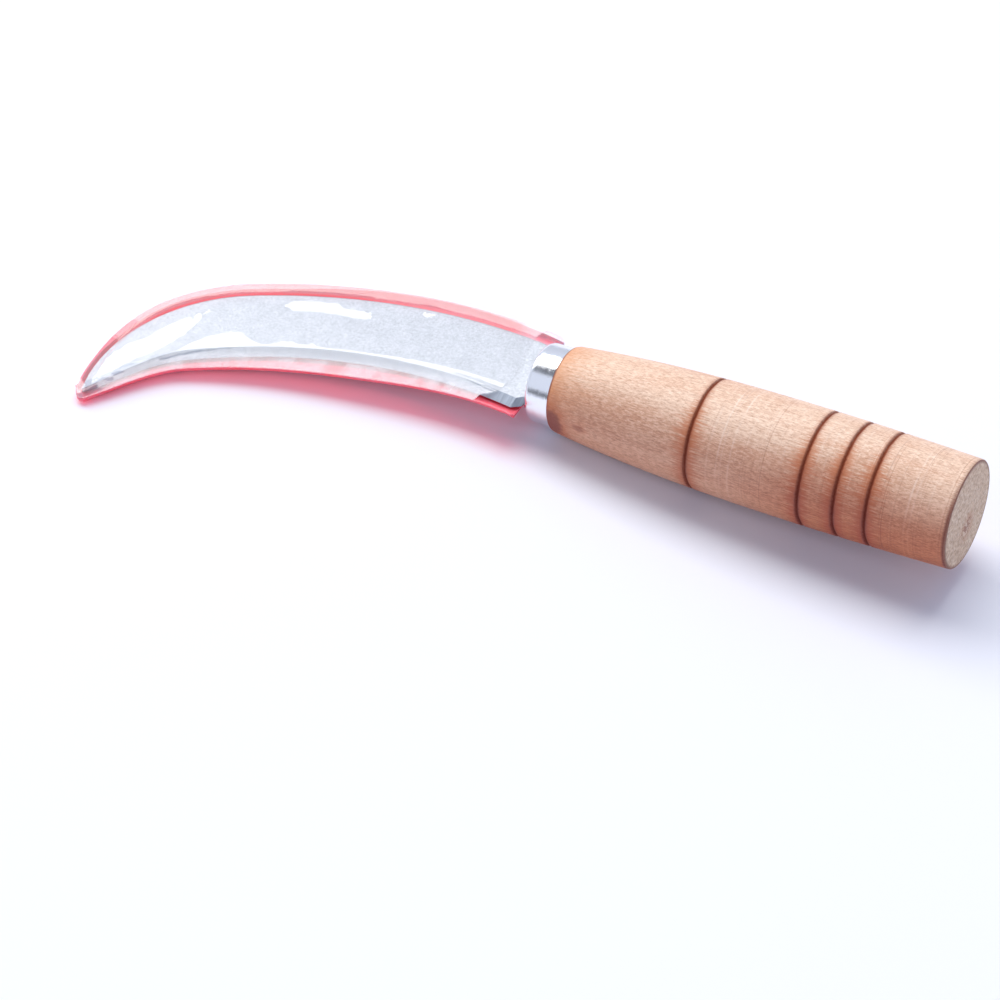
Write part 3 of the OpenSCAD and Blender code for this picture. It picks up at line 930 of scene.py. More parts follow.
@dataclass
class Blade:
    """Stamped blade with a bevel along the inner edge, and the tang that runs into the wood."""

    thickness: float = 1.6
    bevel_w: float = 2.8
    edge_t: float = 0.15
    soft: float = 0.18
    heel_cut: float = 2.8
    ease: float = 0.2
    tang_len: float = 66.0
    tang_w: float = 11.0
    tang_end_w: float = 4.0
    stations: int = 420

    def section(self, spine: Array, inner: Array, edge: Array) -> tuple[Array, Array]:
        """Closed loops from the spine over the top to the edge and back underneath.

        The top runs straight from spine to bevel, the bevel straight down to the edge, the bottom straight back.

        Args:
            spine: Points (n, 2) on the spine.
            inner: Points (n, 2) where the bevel begins.
            edge: Points (n, 2) on the cutting edge.

        Returns:
            Loops (n, k, 3), and the distance (n, k) of each point across from the edge.
        """
        top, low, soft = self.thickness / 2, -self.thickness / 2, self.soft
        across = np.linalg.norm(spine - edge, axis=-1)[:, None]
        step = (edge - spine) / np.maximum(across, 1e-6) * np.minimum(soft, across / 6)
        start = spine + step
        drop = low + self.edge_t - top
        rows = [(spine, top - soft), (spine + step * 0.3, top - soft * 0.3)]
        rows += [(start + (inner - start) * k, top) for k in (0.0, 0.008, *np.linspace(0, 1, 14)[1:])]
        rows += [(inner + (edge - inner) * k, top + drop * k) for k in np.linspace(0.12, 1, 6)]
        rows += [(edge + (start - edge) * k, low) for k in (0.0, *np.linspace(0.1, 1, 10))]
        rows += [(spine, low + soft)]
        plan = np.stack([p for p, _ in rows], 1)
        height = np.broadcast_to([z for _, z in rows], plan.shape[:2])
        return np.dstack([plan, height]), np.linalg.norm(plan - edge[:, None], axis=-1)

    def build(self) -> Object:
        """One closed skin: the tang's end, the tang, the shoulders, the heel's cut corner, the blade and the tip.

        Returns:
            The new object.
        """
        o = OUTLINE
        corner_x = o.shoulder_x - self.ease
        heel_x = corner_x - self.heel_cut
        t = np.linspace(0, 1, self.stations)
        spine, edge = o.spine(corner_x, t), o.edge(heel_x, t)
        inner = o.edge(heel_x, t, -self.bevel_w * np.minimum(1, 4 * (1 - t)))
        heel_top = np.array([corner_x, edge[0, 1] + 0.7 * self.heel_cut])
        heel_inner = heel_top + [0, self.bevel_w]
        k = np.linspace(0, 1, 8)[:-1, None]
        spine = np.concatenate([np.repeat(spine[:1], len(k), 0), spine])
        inner = np.concatenate([heel_inner + (inner[0] - heel_inner) * k, inner])
        edge = np.concatenate([heel_top + (edge[0] - heel_top) * k, edge])
        loops, across = self.section(spine, inner, edge)
        along = np.concatenate([[0], np.cumsum(np.linalg.norm(np.diff(edge, axis=0), axis=-1))])
        marks = np.stack([np.broadcast_to(along[:, None], across.shape), across, 0 * across], -1)
        # Tang: the shoulder's loop squeezed into a smaller rectangle, then drawn out to the point
        first, end = loops[0], o.shoulder_x + self.tang_len
        high, deep = first[:, 1].max(), first[:, 1].min()
        share = (first[:, 1] - deep) / (high - deep) * 2 - 1
        side = np.where(first[:, 2] > 0, 1.0, -1.0)
        x = np.array([corner_x, o.shoulder_x, *np.linspace(o.shoulder_x + 0.2, end - 0.4, 12), end, end])[:, None]
        wide, thin = self.tang_w, self.tang_end_w
        width = np.array([wide, wide, *np.linspace(wide, thin, 12), thin, 0.0])
        half = np.where(width > 0, self.thickness / 2, 0.0)[:, None]
        tang = np.stack(np.broadcast_arrays(x, width[:, None] / 2 * share, half * side), -1)
        # The tang is marked as far from the edge, so that it isn't ground like the bevel
        tang_marks = np.zeros_like(tang) + [0.0, 10.0, 0.0]
        skin = Surface("blade_steel")
        skin.grid(np.concatenate([tang[::-1], loops]), wrap=True, marks=np.concatenate([tang_marks, marks]))
        return skin.build(GroundSteel(), sharp=24.0)


@dataclass
class Ferrule:
    """Drawn cap with a rounded front, slotted for the tang."""

    diameter: float = 23.6
    length: float = 8.2
    wall: float = 0.8
    front_round: float = 2.0
    slot_w: float = 11.1
    slot_t: float = 1.7
    swell: float = 0.05
    lip: float = 0.1
    unround: float = 0.0016
    around: int = 288

    def build(self) -> Object:
        """A profile (x, r) turned round the axis, whose last rings on the front face close in on the slot's outline.

        The slot's outline is the point where a ray at each angle leaves the rectangle. The skin runs from the rear
        lip over the outside, through the slot and back along the inside.

        Returns:
            The new object.
        """
        r, x0, bend, lip = self.diameter / 2, -self.length, self.front_round, self.lip
        inner, back = r - self.wall, x0 + self.wall
        angle = np.linspace(0, 2 * np.pi, self.around, endpoint=False)
        ray = np.stack([np.cos(angle), np.sin(angle)], -1)
        reach = 1 / np.maximum(np.abs(ray[:, 0]) / (self.slot_w / 2), np.abs(ray[:, 1]) / (self.slot_t / 2))
        corner = np.radians(np.linspace(0, 90, 15))[1:]
        rear = -0.02 - lip
        profile = [(-0.02 - lip * k, r - lip + lip * math.sin(math.pi / 2 * k)) for k in np.linspace(0, 1, 4)]
        profile += [
            (rear + (x0 + bend - rear) * k, r + self.swell * math.sin(math.pi * k) ** 2)
            for k in np.linspace(0, 1, 26)[1:]
        ]
        profile += [(x0 + bend - bend * math.sin(c), r - bend + bend * math.cos(c)) for c in corner]
        profile += [(x0, r - bend + (reach - r + bend) * k) for k in np.linspace(0, 1, 7)[1:]]
        profile += [(back, reach + (inner - reach) * k) for k in np.linspace(0, 1, 5)]
        profile += [(back + 0.4, inner), (-0.4, inner), (-0.02, inner)]
        profile += profile[:1]
        x = np.array([[p[0]] for p in profile])
        radius = np.stack([np.broadcast_to(p[1], self.around) for p in profile])
        radius = radius * (1 + self.unround * waves(x, np.degrees(angle) / 6, 5, 6, 7.0))
        cap = Surface("ferrule_cap")
        cap.grid(np.stack(np.broadcast_arrays(x, radius * ray[:, 0], radius * ray[:, 1]), -1), wrap=True)
        return cap.build(Chrome(), sharp=40.0)


@dataclass
class Handle:
    """Turned barrel with a tenon in the ferrule, four grooves and a sawn butt."""

    barrel_d: float = 33.0
    front_d: float = 25.4
    butt_d: float = 31.2
    belly_at: float = 79.0
    tenon_r: float = 10.95
    tenon_x: float = -7.4
    front_round: float = 0.9
    butt_break: float = 0.5
    groove_depth: float = 0.5
    groove_w: float = 0.62
    raggedness: float = 0.10
    ring_depth: float = 0.012
    unevenness: float = 0.05
    around: int = 200

    def barrel(self, s: Array) -> Array:
        """Radius at s: d/2 less a power of the distance from the widest place, on each side of it.

        Args:
            s: Places along the barrel.

        Returns:
            The radius at each.
        """
        front = self.barrel_d - (self.barrel_d - self.front_d) * np.clip(1 - s / self.belly_at, 0, 1) ** 2.6
        rear = np.clip((s - self.belly_at) / (HANDLE_LENGTH - self.belly_at), 0, 1)
        return np.where(s < self.belly_at, front, self.barrel_d - (self.barrel_d - self.butt_d) * rear**1.6) / 2

    def stations(self) -> Array:
        """Places along the barrel, closer together at the grooves.

        Returns:
            The places, in order.
        """
        even = np.arange(self.front_round + 0.3, HANDLE_LENGTH - self.butt_break - 0.3, 0.55)
        near = [g + np.arange(-1.3, 1.31, 0.13) for g in GROOVES]
        return np.unique(np.round(np.concatenate([even, *near]), 3))

    def build(self) -> Object:
        """The outline turned round the axis, with ragged grooves, tool rings and a slightly uneven round.

        Returns:
            The new object.
        """
        bend, rim, end = self.front_round, self.butt_break, HANDLE_LENGTH
        front_r, butt_r = self.front_d / 2 - bend, self.butt_d / 2
        arc = np.radians(np.linspace(0, 90, 7))
        before = [(self.tenon_x, 0.0)] + [(x, self.tenon_r) for x in (self.tenon_x, -0.3, 0.0)] + [(0.0, front_r)]
        before += [(bend * (1 - math.cos(a)), front_r + bend * math.sin(a)) for a in arc[1:]]
        after = [(end - rim * (1 - math.sin(a)), butt_r - rim * (1 - math.cos(a))) for a in arc]
        after += [(end, butt_r * k) for k in (0.95, 0.9, 0.8, 0.65, 0.5, 0.35, 0.2, 0.08, 0.0)]
        s = self.stations()
        x, radius = np.concatenate([before, np.stack([s, self.barrel(s)], -1), after]).T[..., None]
        angle = np.linspace(0, 2 * np.pi, self.around, endpoint=False)
        y, z = np.cos(angle), np.sin(angle)
        drift = self.raggedness * waves(y * 8, z * 8, 3, 6, 3.0)
        cut = 0.0
        for groove in GROOVES:
            cut = cut + np.clip(1 - np.abs(x - groove - drift) / (self.groove_w + 0.5 * drift), 0, 1) ** 0.8
        on_barrel = (x > bend + 0.1) & (x < end - rim - 0.1)
        ring = self.ring_depth * waves(x, 0 * x, 11, 9, 1.1) * ease((x - 42) / 14)
        uneven = self.unevenness * waves(y * 10 + x * 0.1, z * 10, 21, 5, 16.0)
        radius = radius + on_barrel * (ring + uneven - self.groove_depth * cut)
        barrel = Surface("turned_handle")
        barrel.grid(np.stack(np.broadcast_arrays(x, radius * y, radius * z), -1), wrap=True)
        return barrel.build(TurnedWood(), sharp=50.0)


@dataclass
class SheathPlan:
    """The sheath's two rims, kept clear of the blade all along the draw."""

    spine_gap: float = 4.3
    mouth_gap: float = 3.1
    middle_gap: float = 6.7
    tip_gap: float = 1.3
    edge_tip_gap: float = 3.4
    mouth_x: float = -9.6
    flange_w: float = 0.8
    back_wall: float = 0.7
    draw_play: float = 0.3
    film_t: float = 0.3
    floor_z: float = -1.2
    film_z: float = 1.2
    crown: float = 1.8
    full_w: float = 7.0
    brim_h: float = 0.50
    brim_w: float = 3.7
    centre_way: Pair = (-0.024, 0.225)
    look_back: float = 0.4
    spare: float = 0.1

    def __post_init__(self) -> None:
        """Works out the centre of the draw and how far the blade reaches on each side of it."""
        o = OUTLINE
        self.centre = o.spine_c + np.array(self.centre_way) * o.spine_r
        t = np.linspace(0, 1, 481)
        corner = o.shoulder_x - Blade.ease
        self.near_track = self.polar(o.edge(corner - Blade.heel_cut, t))
        self.far_track = self.polar(o.spine(corner, t))
        self.tip_bearing = float(self.polar(o.tip[None])[0][0])

    def polar(self, p: Array) -> tuple[Array, Array]:
        """Bearing and distance of points, seen from the centre of the draw."""
        d = p - self.centre
        return np.degrees(np.arctan2(d[..., 1], d[..., 0])), np.linalg.norm(d, axis=-1)

    def limit(self, bearing: Array, near: bool) -> Array:
        """Closest or farthest place of all the blade that passes each bearing during the draw.

        Args:
            bearing: Angles seen from the centre of the draw.
            near: Closest on the edge side, else farthest on the spine side.

        Returns:
            Distance from the centre for each bearing.
        """
        angles, lengths = self.near_track if near else self.far_track
        worst = np.minimum if near else np.maximum
        order = np.argsort(angles)
        tail = worst.accumulate(lengths[order][::-1])[::-1]
        at = np.searchsorted(angles[order], np.minimum(bearing, self.tip_bearing) - self.look_back, side="right")
        return tail[np.minimum(at, len(tail) - 1)]

    def kept(self, p: Array, near: bool, v: Numbers = 0.0) -> Array:
        """Points moved along their bearing until they are clear of the draw.

        Args:
            p: Array (..., 2).
            near: True on the edge side, False on the spine side.
            v: Distance of each point across from the rim.

        Returns:
            Array of the same shape.
        """
        bearing, length = self.polar(p)
        if near:
            room = self.flange_w + 0.3 + self.draw_play - v
            length = np.minimum(length, self.limit(bearing, True) - room)
        else:
            length = np.maximum(length, self.limit(bearing, False) + self.back_wall + self.spare + self.draw_play)
        return self.centre + length[..., None] * turn(bearing)

    def edge_off(self, t: Array) -> Array:
        """Width of the sheath beyond the cutting edge at share t: from the mouth's to the middle's to the tip's."""
        off = self.mouth_gap + (self.middle_gap - self.mouth_gap) * ease(t / 0.4)
        return off + (self.edge_tip_gap - self.middle_gap) * ease((t - 0.4) / 0.6)

    def brim(self, from_spine: Array) -> Array:
        """Height of the pressed rim: it falls away inwards in a straight line over brim_w."""
        return self.brim_h * np.clip(1 - from_spine / self.brim_w, 0, 1)

    def rims(self, t: Array) -> tuple[Array, Array]:
        """Edge-side and spine-side rim at share t of the sheath, 1 at the blade's tip.

        Args:
            t: Shares along the sheath.

        Returns:
            Both rims, each (n, 2).
        """
        o = OUTLINE
        spine_off = self.spine_gap + (self.tip_gap - self.spine_gap) * ease((t - 0.73) / 0.21)
        return (
            self.kept(o.edge(self.mouth_x, t, self.edge_off(t)), True),
            self.kept(o.spine(self.mouth_x, t, spine_off), False),
        )

    def cap(self, u: Array) -> Array:
        """Rounded end past the tip, at share u of the way from the spine side to the edge side.

        Args:
            u: Shares round the end.

        Returns:
            Array (n, 2).
        """
        o = OUTLINE
        reach = self.tip_gap + (self.edge_tip_gap - self.tip_gap) * ease(u)
        return o.tip + reach[..., None] * turn(o.tip_a + (270 + o.tip_slope - o.tip_a) * u)

    def walk(self, stations: int, cap_stations: int = 14) -> tuple[Array, Array, Array]:
        """Both rims from the mouth to the end, and the height of each section.

        Args:
            stations: Sections along the blade.
            cap_stations: Sections over the rounded end.

        Returns:
            Edge-side rim, spine-side rim, and the factor on heights that flattens the rounded end.
        """
        inner, outer = self.rims(np.linspace(0, 1, stations))
        k = np.arange(1, cap_stations + 1) / cap_stations
        u = 4 / 9 * k
        inner = np.concatenate([inner, self.cap(1 - u)])
        outer = np.concatenate([outer, self.cap(u)])
        return inner, outer, np.concatenate([np.ones(stations), 1 - 0.45 * k**2])


@dataclass
class SheathBack:
    """Red moulded tray with a domed floor, a spine wall and a flange along the cutting edge."""

    plan: SheathPlan
    stations: int = 300
    lip: float = 2.8
    lip_w: float = 3.0
    lip_way: Pair = (1.0, 0.45)
    corner: float = 1.7
    corner_w: float = 2.2
    fade_over: float = 7.0
    widest_ledge: float = 2.3
    round_r: float = 0.22

    def sections(self, w: Array, first_w: float, open_to: int, ledge: Array) -> Array:
        """Corners (v, z) of each section: round the outside from flange to ledge, then back inside.

        Args:
            w: Width of each section.
            first_w: Width at which the floor's crown is full; it goes with the square of the width.
            open_to: Sections from here on are solid, right up to the film.
            ledge: Width of the ledge on the spine wall's top.

        Returns:
            Array (sections, corners, 2).
        """
        p = self.plan
        k = np.minimum(1, w / p.full_w)
        c = p.crown * (w / first_w) ** 2
        f, b = p.flange_w * k, p.back_wall
        low = p.floor_z - b
        outside = [
            (0, 0), (0.1 * k, -0.5 * b), (0.45 * f, low * 0.62), (f + 0.35 * k, low),
            (w * 0.27, low - 0.75 * c), (w * 0.5, low - c), (w * 0.73, low - 0.75 * c), (w - 1.8 * k, low),
            (w - 0.75 * k, low * 0.88), (w - 0.2 * k, low * 0.6), (w, low * 0.2),
            (w, p.film_z + p.brim(0 * w) * k * k), (w - ledge * k, p.film_z + p.brim(ledge) * k * k),
        ]
        z = p.floor_z
        inside = [
            (w - b * k, 0.1 * z), (w - (b + 0.02) * k, 0.4 * z), (w - (b + 0.06) * k, 0.72 * z),
            (w - (b + 0.6) * k, z), (w * 0.72, z - 0.75 * c), (w * 0.5, z - c), (w * 0.28, z - 0.75 * c),
            (f + 0.45 * k, z), (f + 0.25 * k, 0.6 * z), (f + 0.07 * k, 0.2 * z),
        ]
        is_open = np.arange(len(w)) < open_to
        shut = [p.film_z * np.clip((v - f) / (0.9 * k), 0, 1) - 0.001 for v, _ in inside]
        under = [(v, np.where(is_open, h, closed)) for (v, h), closed in zip(inside, shut)]
        return np.stack([np.stack(np.broadcast_arrays(*q, w)[:2], -1) for q in outside + under + [(f, 0)]], 1)

    def build(self) -> Object:
        """Sections set between the rims, with the mouth drawn out into the lip and its spine corner rounded off.

        Returns:
            The new object.
        """
        inner, outer, height = self.plan.walk(self.stations)
        w = np.linalg.norm(outer - inner, axis=-1)
        way = unit(outer - inner)
        # The wall's top is a ledge, as wide as the draw leaves room for
        bearing, length = self.plan.polar(outer)
        ledge = np.clip(length - self.plan.limit(bearing, False) - 0.4, self.plan.back_wall, self.widest_ledge)
        section = rounded(self.sections(w, w[0], self.stations, ledge), self.round_r)
        v, z = section[..., 0], section[..., 1] * height[:, None]
        xy = inner[:, None] + way[:, None] * v[..., None]
        # The first rings lean into the lip; the lean fades over the sections behind the mouth
        lean = unit(np.array(self.lip_way)) * self.lip
        share = np.clip(1 - v / self.lip_w, 0, 1) * (1 - 0.8 * np.clip(1 - v / 1.9, 0, 1) ** 2)
        fade = np.clip(1 - np.arange(len(w)) / self.fade_over, 0, 1)[:, None]
        moved = xy + lean * (share * fade)[..., None]
        clear = self.plan.kept(moved, True, v)
        xy = np.where(((v < self.lip_w) & (fade > 0))[..., None], clear, xy)
        corner = np.clip(1 - (w[:, None] - v) / self.corner_w, 0, 1) ** 2 * fade
        xy[..., 0] -= self.corner * corner
        points = np.concatenate([xy, z[..., None]], -1)
        tray = Surface("sheath_tray")
        tray.grid(points, wrap=True)
        half = points.shape[1] // 2
        for ring in (points[0], points[-1]):
            tray.grid(np.stack([ring[:half], ring[::-1][:half]]))
        return tray.build(RedPlastic(), sharp=50.0)


@dataclass(frozen=True)
class Patch:
    """A place on the film with a slope of its own, in degrees, that fades behind it over the decay length."""

    outline: Array
    slope: float
    decay: float


@dataclass
class SheathFilm:
    """Clear sheet over the tray. It slopes up from the flange, and is creased and puffed where it was drawn tight."""

    plan: SheathPlan
    stations: int = 420
    rows: int = 84
    raster: float = 0.2
    facing: Pair = (0.5356, -0.8445)
    slope: float = 0.176
    mouth_slope: float = 0.35
    held_back: float = 0.85
    low_slope: float = 0.13
    bevel_slope: float = 0.42
    ripple: Pair = (0.05, 0.024)
    streak: Pairs = (
        (-111.6, -12.1), (-119.6, -26.3), (-122.4, -33.1), (-125.8, -37.6), (-127.6, -43.1), (-127.2, -52.9),
        (-126.6, -57.0), (-123.9, -49.7), (-121.3, -42.5), (-117.0, -35.2), (-114.6, -29.2), (-113.0, -21.1),
    )
    ridge: Pairs = (
        (-111.5, -33.8), (-109.7, -29.2), (-107.2, -25.6), (-102.6, -21.4), (-100.7, -19.6), (-97.3, -19.4),
        (-93.2, -20.9), (-90.1, -21.2), (-87.3, -19.9), (-85.1, -17.7), (-83.4, -16.5), (-79.8, -16.6),
        (-75.7, -14.7), (-71.9, -15.1), (-69.2, -15.3), (-66.1, -13.4), (-61.8, -12.4), (-55.8, -12.3),
        (-51.6, -10.3), (-47.2, -9.6), (-40.8, -10.2), (-31.9, -9.1), (-26.0, -9.0), (-20.9, -8.8),
    )
    pane: Pairs = (
        (-92.7, -3.1), (-91.6, -0.5), (-87.0, 1.8), (-78.3, 4.2), (-75.9, 2.8), (-66.8, 5.2), (-65.8, 2.9),
        (-67.8, 0.7), (-73.0, 0.1), (-79.7, -1.1), (-81.8, -1.7), (-89.3, -4.2),
    )
    spot: Pairs = ((-53.8, 10.1), (-52.2, 11.5), (-48.3, 12.2), (-51.9, 8.9))
    mouth: Pairs = (
        (0.0, -22.0), (0.08, -21.0), (0.16, -16.8), (0.35, -15.3), (0.8, -17.8), (0.92, -17.6), (1.0, -16.0),
    )

    def patches(self) -> list[Patch]:
        """Places where the film was drawn tight between two folds, and so slopes towards the front right.

        Returns:
            The streak, the ridge, the pane and the spot.
        """
        o = OUTLINE
        run = np.linspace(0.1, 0.81, 24)
        bevel = o.edge(-11.2, run, -2.7 + 2.4 * ease((0.55 - run) / 0.08))
        return [
            Patch(np.array(self.streak), 10.5, 12.0),
            Patch(np.concatenate([self.ridge, bevel]), 5.0, 10.0),
            Patch(np.array(self.pane), 7.0, 9.0),
            Patch(np.array(self.spot), 7.5, 9.0),
        ]

    def lift(self, x: Array, y: Array) -> Array:
        """Height of the creases at (x, y).

        Over each patch the film rises away from the front right, so its height at a point is the patch's slope times
        the length of patch passed on the way there, fading by exp(-distance / decay). It is summed on a raster laid
        along that way and read off between the raster's points.

        Args:
            x: Tool-frame x of the points.
            y: Tool-frame y of the points.

        Returns:
            Height above the plain film.
        """
        step, (dx, dy) = self.raster, self.facing
        across, back = x * dy - y * dx, -(x * dx + y * dy)
        ga = np.arange(across.min() - 2, across.max() + 2, step)
        gb = np.arange(back.min() - 30, back.max() + 2, step)
        pa, pb = np.meshgrid(ga, gb)
        px, py = pa * dy - pb * dx, -pa * dx - pb * dy
        total = np.zeros_like(px)
        for patch in self.patches():
            inside = np.zeros_like(px, bool)
            ragged = 0.25 * waves(pa, pb, 17, 9, 1.6)
            for (x0, y0), (x1, y1) in zip(patch.outline, np.roll(patch.outline, -1, 0)):
                cuts = (y0 > py + ragged) != (y1 > py + ragged)
                inside ^= cuts & (px + ragged < (x1 - x0) * (py + ragged - y0) / (y1 - y0 + 1e-12) + x0)
            grow = np.exp((gb - gb[0]) / patch.decay)[:, None]
            total += math.tan(math.radians(patch.slope)) * np.cumsum(inside * grow, 0) / grow * step
        u, v = (across - ga[0]) / step, (back - gb[0]) / step
        i, j = np.clip(u.astype(int), 0, len(ga) - 2), np.clip(v.astype(int), 0, len(gb) - 2)
        a, b = u - i, v - j
        near = total[j, i] * (1 - a) + total[j, i + 1] * a
        return near * (1 - b) + (total[j + 1, i] * (1 - a) + total[j + 1, i + 1] * a) * b

    def rise(self, v: Array, w: Array, flange: Array) -> Array:
        """Height of the plain film's underside at v across from the flange's outer edge, before the draw's path.

        Straight up from the flange to the bevel's inner line. Towards the tip it lies low over the gap, then climbs
        the bevel, and over the tip it is up at its full height.

        Args:
            v: Distance across from the edge-side rim, (n, k).
            w: Width of each section, (n, 1).
            flange: Where the film leaves the flange, (n, 1).

        Returns:
            Height (n, k).
        """
        p = self.plan
        beyond = len(w) - self.stations
        gap = np.concatenate([p.edge_off(np.linspace(0, 1, self.stations)), np.full(beyond, p.edge_tip_gap)])[:, None]
        t = np.minimum(np.arange(len(w)) / self.stations, 1)[:, None]
        slope = self.slope + self.mouth_slope * ease((0.07 - t) / 0.06)
        hold = self.held_back * ease((t - 0.47) / 0.08)
        z = slope * (v - flange - hold * np.clip(v - gap + 0.3, 0, None))
        full = p.film_z * np.clip((v - flange) / (0.5 * w), 0, 0.5) * 2
        z = np.minimum(z, full)
        tight = ease((t - 0.80) / 0.12)
        climb = self.low_slope * np.clip(v - flange, 0, None) + self.bevel_slope * np.clip(v - gap - 0.2, 0, None)
        z = z * (1 - tight) + np.minimum(climb, p.film_z) * tight
        end = ease((t - 0.915) / 0.035)
        return z * (1 - end) + full * end

    def build(self) -> Object:
        """Top and underside as two grids over the same plan, joined round the rim.

        Returns:
            The new object.
        """
        p = self.plan
        inner, outer, height = p.walk(self.stations)
        w = np.linalg.norm(outer - inner, axis=-1)[:, None]
        share = np.linspace(0, 1, self.rows)[None] ** 1.15
        k = np.minimum(1, w / p.full_w)
        v = share * w
        flange = 0.25 * p.flange_w * k
        xy = inner[:, None] + unit(outer - inner)[:, None] * v[..., None]
        # Sections before the film's edge at the mouth are pulled back to it
        pull = np.maximum(0, xy[..., 0] - np.interp(share, *np.transpose(self.mouth)))
        along = unit(np.gradient(xy, axis=0))
        xy = xy + along * (pull / np.maximum(-along[..., 0], 0.5))[..., None]
        # Never into the blade's way, which rises across the bevel from the edge to the flat
        z = self.rise(v, w, flange)
        bearing, length = p.polar(xy)
        way = -0.45 + 1.45 * np.clip((length - p.limit(bearing, True)) / Blade.bevel_w, 0, 1)
        z = np.maximum(z, np.where(v > flange + 0.3, way, 0)) + p.brim(w - v) * k * k
        # Creases and ripples, which die out at both rims
        mean, swing = self.ripple
        ripple = np.maximum(0, mean + swing * waves(xy[..., 0], xy[..., 1], 8, 9, 9.0)) * ease((w - v) / 5)
        crease = self.lift(xy[..., 0], xy[..., 1]) * ease((w - v - 3.2) / 1.6)
        z = z + (crease + ripple) * ease((v - flange) / 4)
        top = np.concatenate([xy, ((z + p.film_t) * height[:, None])[..., None]], -1)
        low = np.concatenate([xy, (z * height[:, None])[..., None]], -1)
        sheet = Surface("sheath_window")
        lay = np.stack([w - v, v - flange, np.zeros_like(v)], -1)
        sheet.grid(np.concatenate([top, low[:, ::-1]], 1), wrap=True, marks=np.concatenate([lay, lay[:, ::-1]], 1))
        for index in (0, -1):
            sheet.grid(np.stack([top[index], low[index]]))
        return sheet.build(ClearFilm(), sharp=60.0, weld=1e-8)


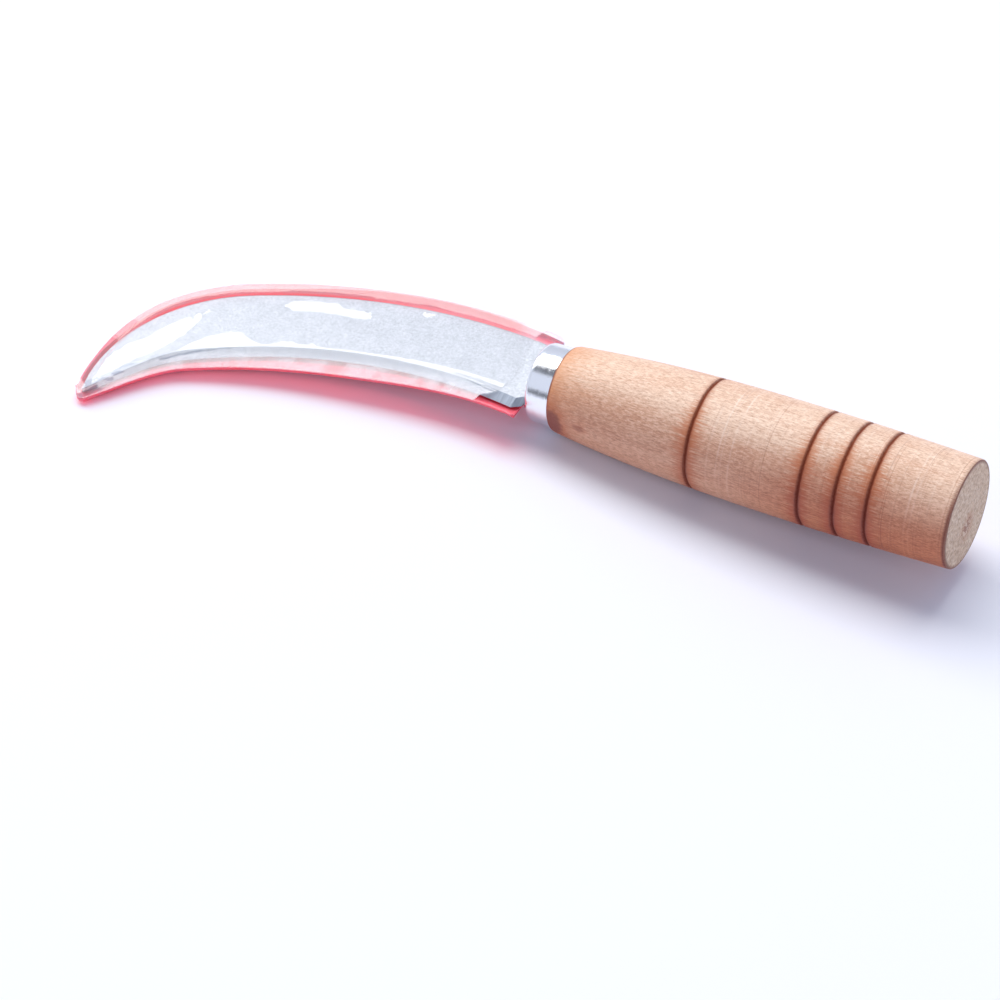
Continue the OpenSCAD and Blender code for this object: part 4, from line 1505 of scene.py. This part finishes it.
@dataclass
class Studio:
    """Paper sweep, one big soft lamp behind the tool, the room's own light and the camera."""

    camera_at: Triple = (0.3078, -0.5649, 0.6475)
    look_at: Triple = (0.0027, -0.0154, 0.0)
    lens: float = 115.2
    lamp_at: Triple = (-0.06, 0.0, 0.003)
    lamp_way: Triple = (-0.477, 0.3078, 0.8233)
    lamp_size: Pair = (4.8, 1.68)
    lamp_far: float = 3.0
    lamp_level: float = 3.85
    lamp_tint: Colour = (1.0, 0.985, 0.95)
    room_tint: Colour = (0.87, 0.925, 1.08)
    white: Colour = (0.98, 0.98, 1.0)
    step_x: float = -0.129
    step_h: float = 0.0045
    step_w: float = 0.008
    beyond: float = 0.03
    room: Pairs = (
        (0.0, 0.45), (3.0, 0.22), (5.0, 0.18), (12.0, 0.18), (19.0, 0.9), (62.0, 0.9), (69.0, 0.17), (90.0, 0.17),
        (94.0, 0.85), (140.0, 0.85), (180.0, 0.7),
    )
    left: Triple = (-0.58, -0.74, 0.8)
    right: Triple = (-0.1, 0.25, 0.72)

    def floor(self) -> Object:
        """Paper: level at z = 0 under the tool, with a shallow step down on its left, where the drawn sheath lies.

        The step begins at step_x, a little farther right in the front. It falls smoothly by step_h over step_w, and
        beyond it the paper goes on falling gently.

        Returns:
            The new object.
        """
        span_x = np.concatenate([[-3.0, -1.0, -0.6, -0.4], np.linspace(-0.3, -0.1, 201), [0.0, 0.4, 1.0, 3.0]])
        span_y = np.concatenate([[-3.0, -0.5], np.linspace(-0.2, 0.0, 81), [0.5, 3.0]])
        x, y = np.meshgrid(span_x, span_y, indexing="ij")
        drop = np.maximum(0, self.step_x + 0.010 * ease((-0.043 - y) / 0.015) - x)
        z = -self.step_h * ease(drop / self.step_w) - self.beyond * drop
        mesh = bpy.data.meshes.new("paper")
        quads = grid_cells(np.arange(x.size).reshape(x.shape))
        mesh.from_pydata(np.stack([x, y, z], -1).reshape(-1, 3).tolist(), [], quads.tolist())
        mesh.polygons.foreach_set("use_smooth", np.ones(len(mesh.polygons), bool))
        mesh.materials.append(Paper().material())
        paper = placed("paper", mesh)
        return paper

    def lamp(self) -> None:
        """A rectangle that faces the tool, with its long side as level as it can be."""
        away = Vector(self.lamp_way).normalized()
        level = (Vector((1, 0, 0)) - away * away.x).normalized()
        light = bpy.data.lights.new("softbox", "AREA")
        light.shape = "RECTANGLE"
        light.color = self.lamp_tint
        light.size, light.size_y = self.lamp_size
        light.energy = self.lamp_level * math.pi * self.lamp_size[0] * self.lamp_size[1]
        made = placed("softbox", light)
        made.visible_camera = False
        turned = Matrix((level, away.cross(level), away)).transposed().to_4x4()
        made.matrix_world = Matrix.Translation(Vector(self.lamp_at) + away * self.lamp_far) @ turned

    def lit(self, level: float) -> tuple[float, ...]:
        """The room's colour at a level of brightness."""
        return (*(level * c for c in self.room_tint), 1.0)

    def air(self) -> None:
        """Room light by the angle from the front horizon over the top to the back; the camera sees plain white."""
        world = bpy.data.worlds.new("room")
        bpy.context.scene.world = world
        g = Graph(world)
        x, y, z = g.split(g.node("TexCoord").outputs["Generated"])
        angle = g.math("ARCTAN2", z, g.times(y, -1.0))
        ramp = g.node("ValToRGB", {0: g.math("DIVIDE", angle, math.pi)})
        stops = ramp.color_ramp.elements
        for at, _ in self.room[1:-1]:
            stops.new(at / 180)
        for stop, (at, level) in zip(stops, self.room):
            stop.position, stop.color = at / 180, self.lit(level)
        # The left wall is bright from top to bottom, the right half of the room is dim
        wall = ramp.outputs[0]
        for (start, full, level), blend in ((self.left, "MIX"), (self.right, "MULTIPLY")):
            wall = g.mix(g.remap(x, start, full), wall, self.lit(level), blend)
        wall = g.mix(g.node("LightPath").outputs["Is Camera Ray"], wall, self.white)
        g.node("OutputWorld", {0: g.node("Background", {0: wall}).outputs[0]})

    def camera(self) -> None:
        """A long lens, level, looking down on the tool."""
        lens = bpy.data.cameras.new("camera")
        lens.lens, lens.sensor_width = self.lens, 36
        lens.clip_start, lens.clip_end = 0.01, 20
        made = placed("camera", lens)
        at, to = Vector(self.camera_at), Vector(self.look_at)
        made.location = at
        made.rotation_euler = (to - at).to_track_quat("-Z", "Y").to_euler()
        bpy.context.scene.camera = made

    def build(self) -> None:
        """Sets up everything that isn't part of the tool."""
        self.camera()
        self.floor()
        self.lamp()
        self.air()


@dataclass
class Sickle:
    """The whole tool: knife and sheath, each piece on its own body."""

    plan: SheathPlan = field(default_factory=SheathPlan)

    def build(self) -> None:
        """Makes each piece, lets it ride on its body and hides the plain solid that it stands for."""
        rows = (
            (Blade(), Body.KNIFE, Slot.STEEL, "blade"),
            (Ferrule(), Body.KNIFE, Slot.FERRULE, "ferrule"),
            (Handle(), Body.KNIFE, Slot.WOOD, "handle"),
            (SheathBack(self.plan), Body.SHEATH, Slot.RED, "sheath_back"),
            (SheathFilm(self.plan), Body.SHEATH, Slot.FILM, "sheath_film"),
        )
        for part, body, slot, node in rows:
            piece = part.build()
            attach(piece, body.value)
            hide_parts(node)
            LOG.info("%s: %d faces for %s", piece.name, len(piece.data.polygons), node)


def main() -> None:
    logging.basicConfig(level=logging.INFO, format="%(name)s: %(message)s")
    bpy.context.scene.view_settings.view_transform = "Standard"
    Studio().build()
    Sickle().build()


if __name__ == "__main__":
    main()
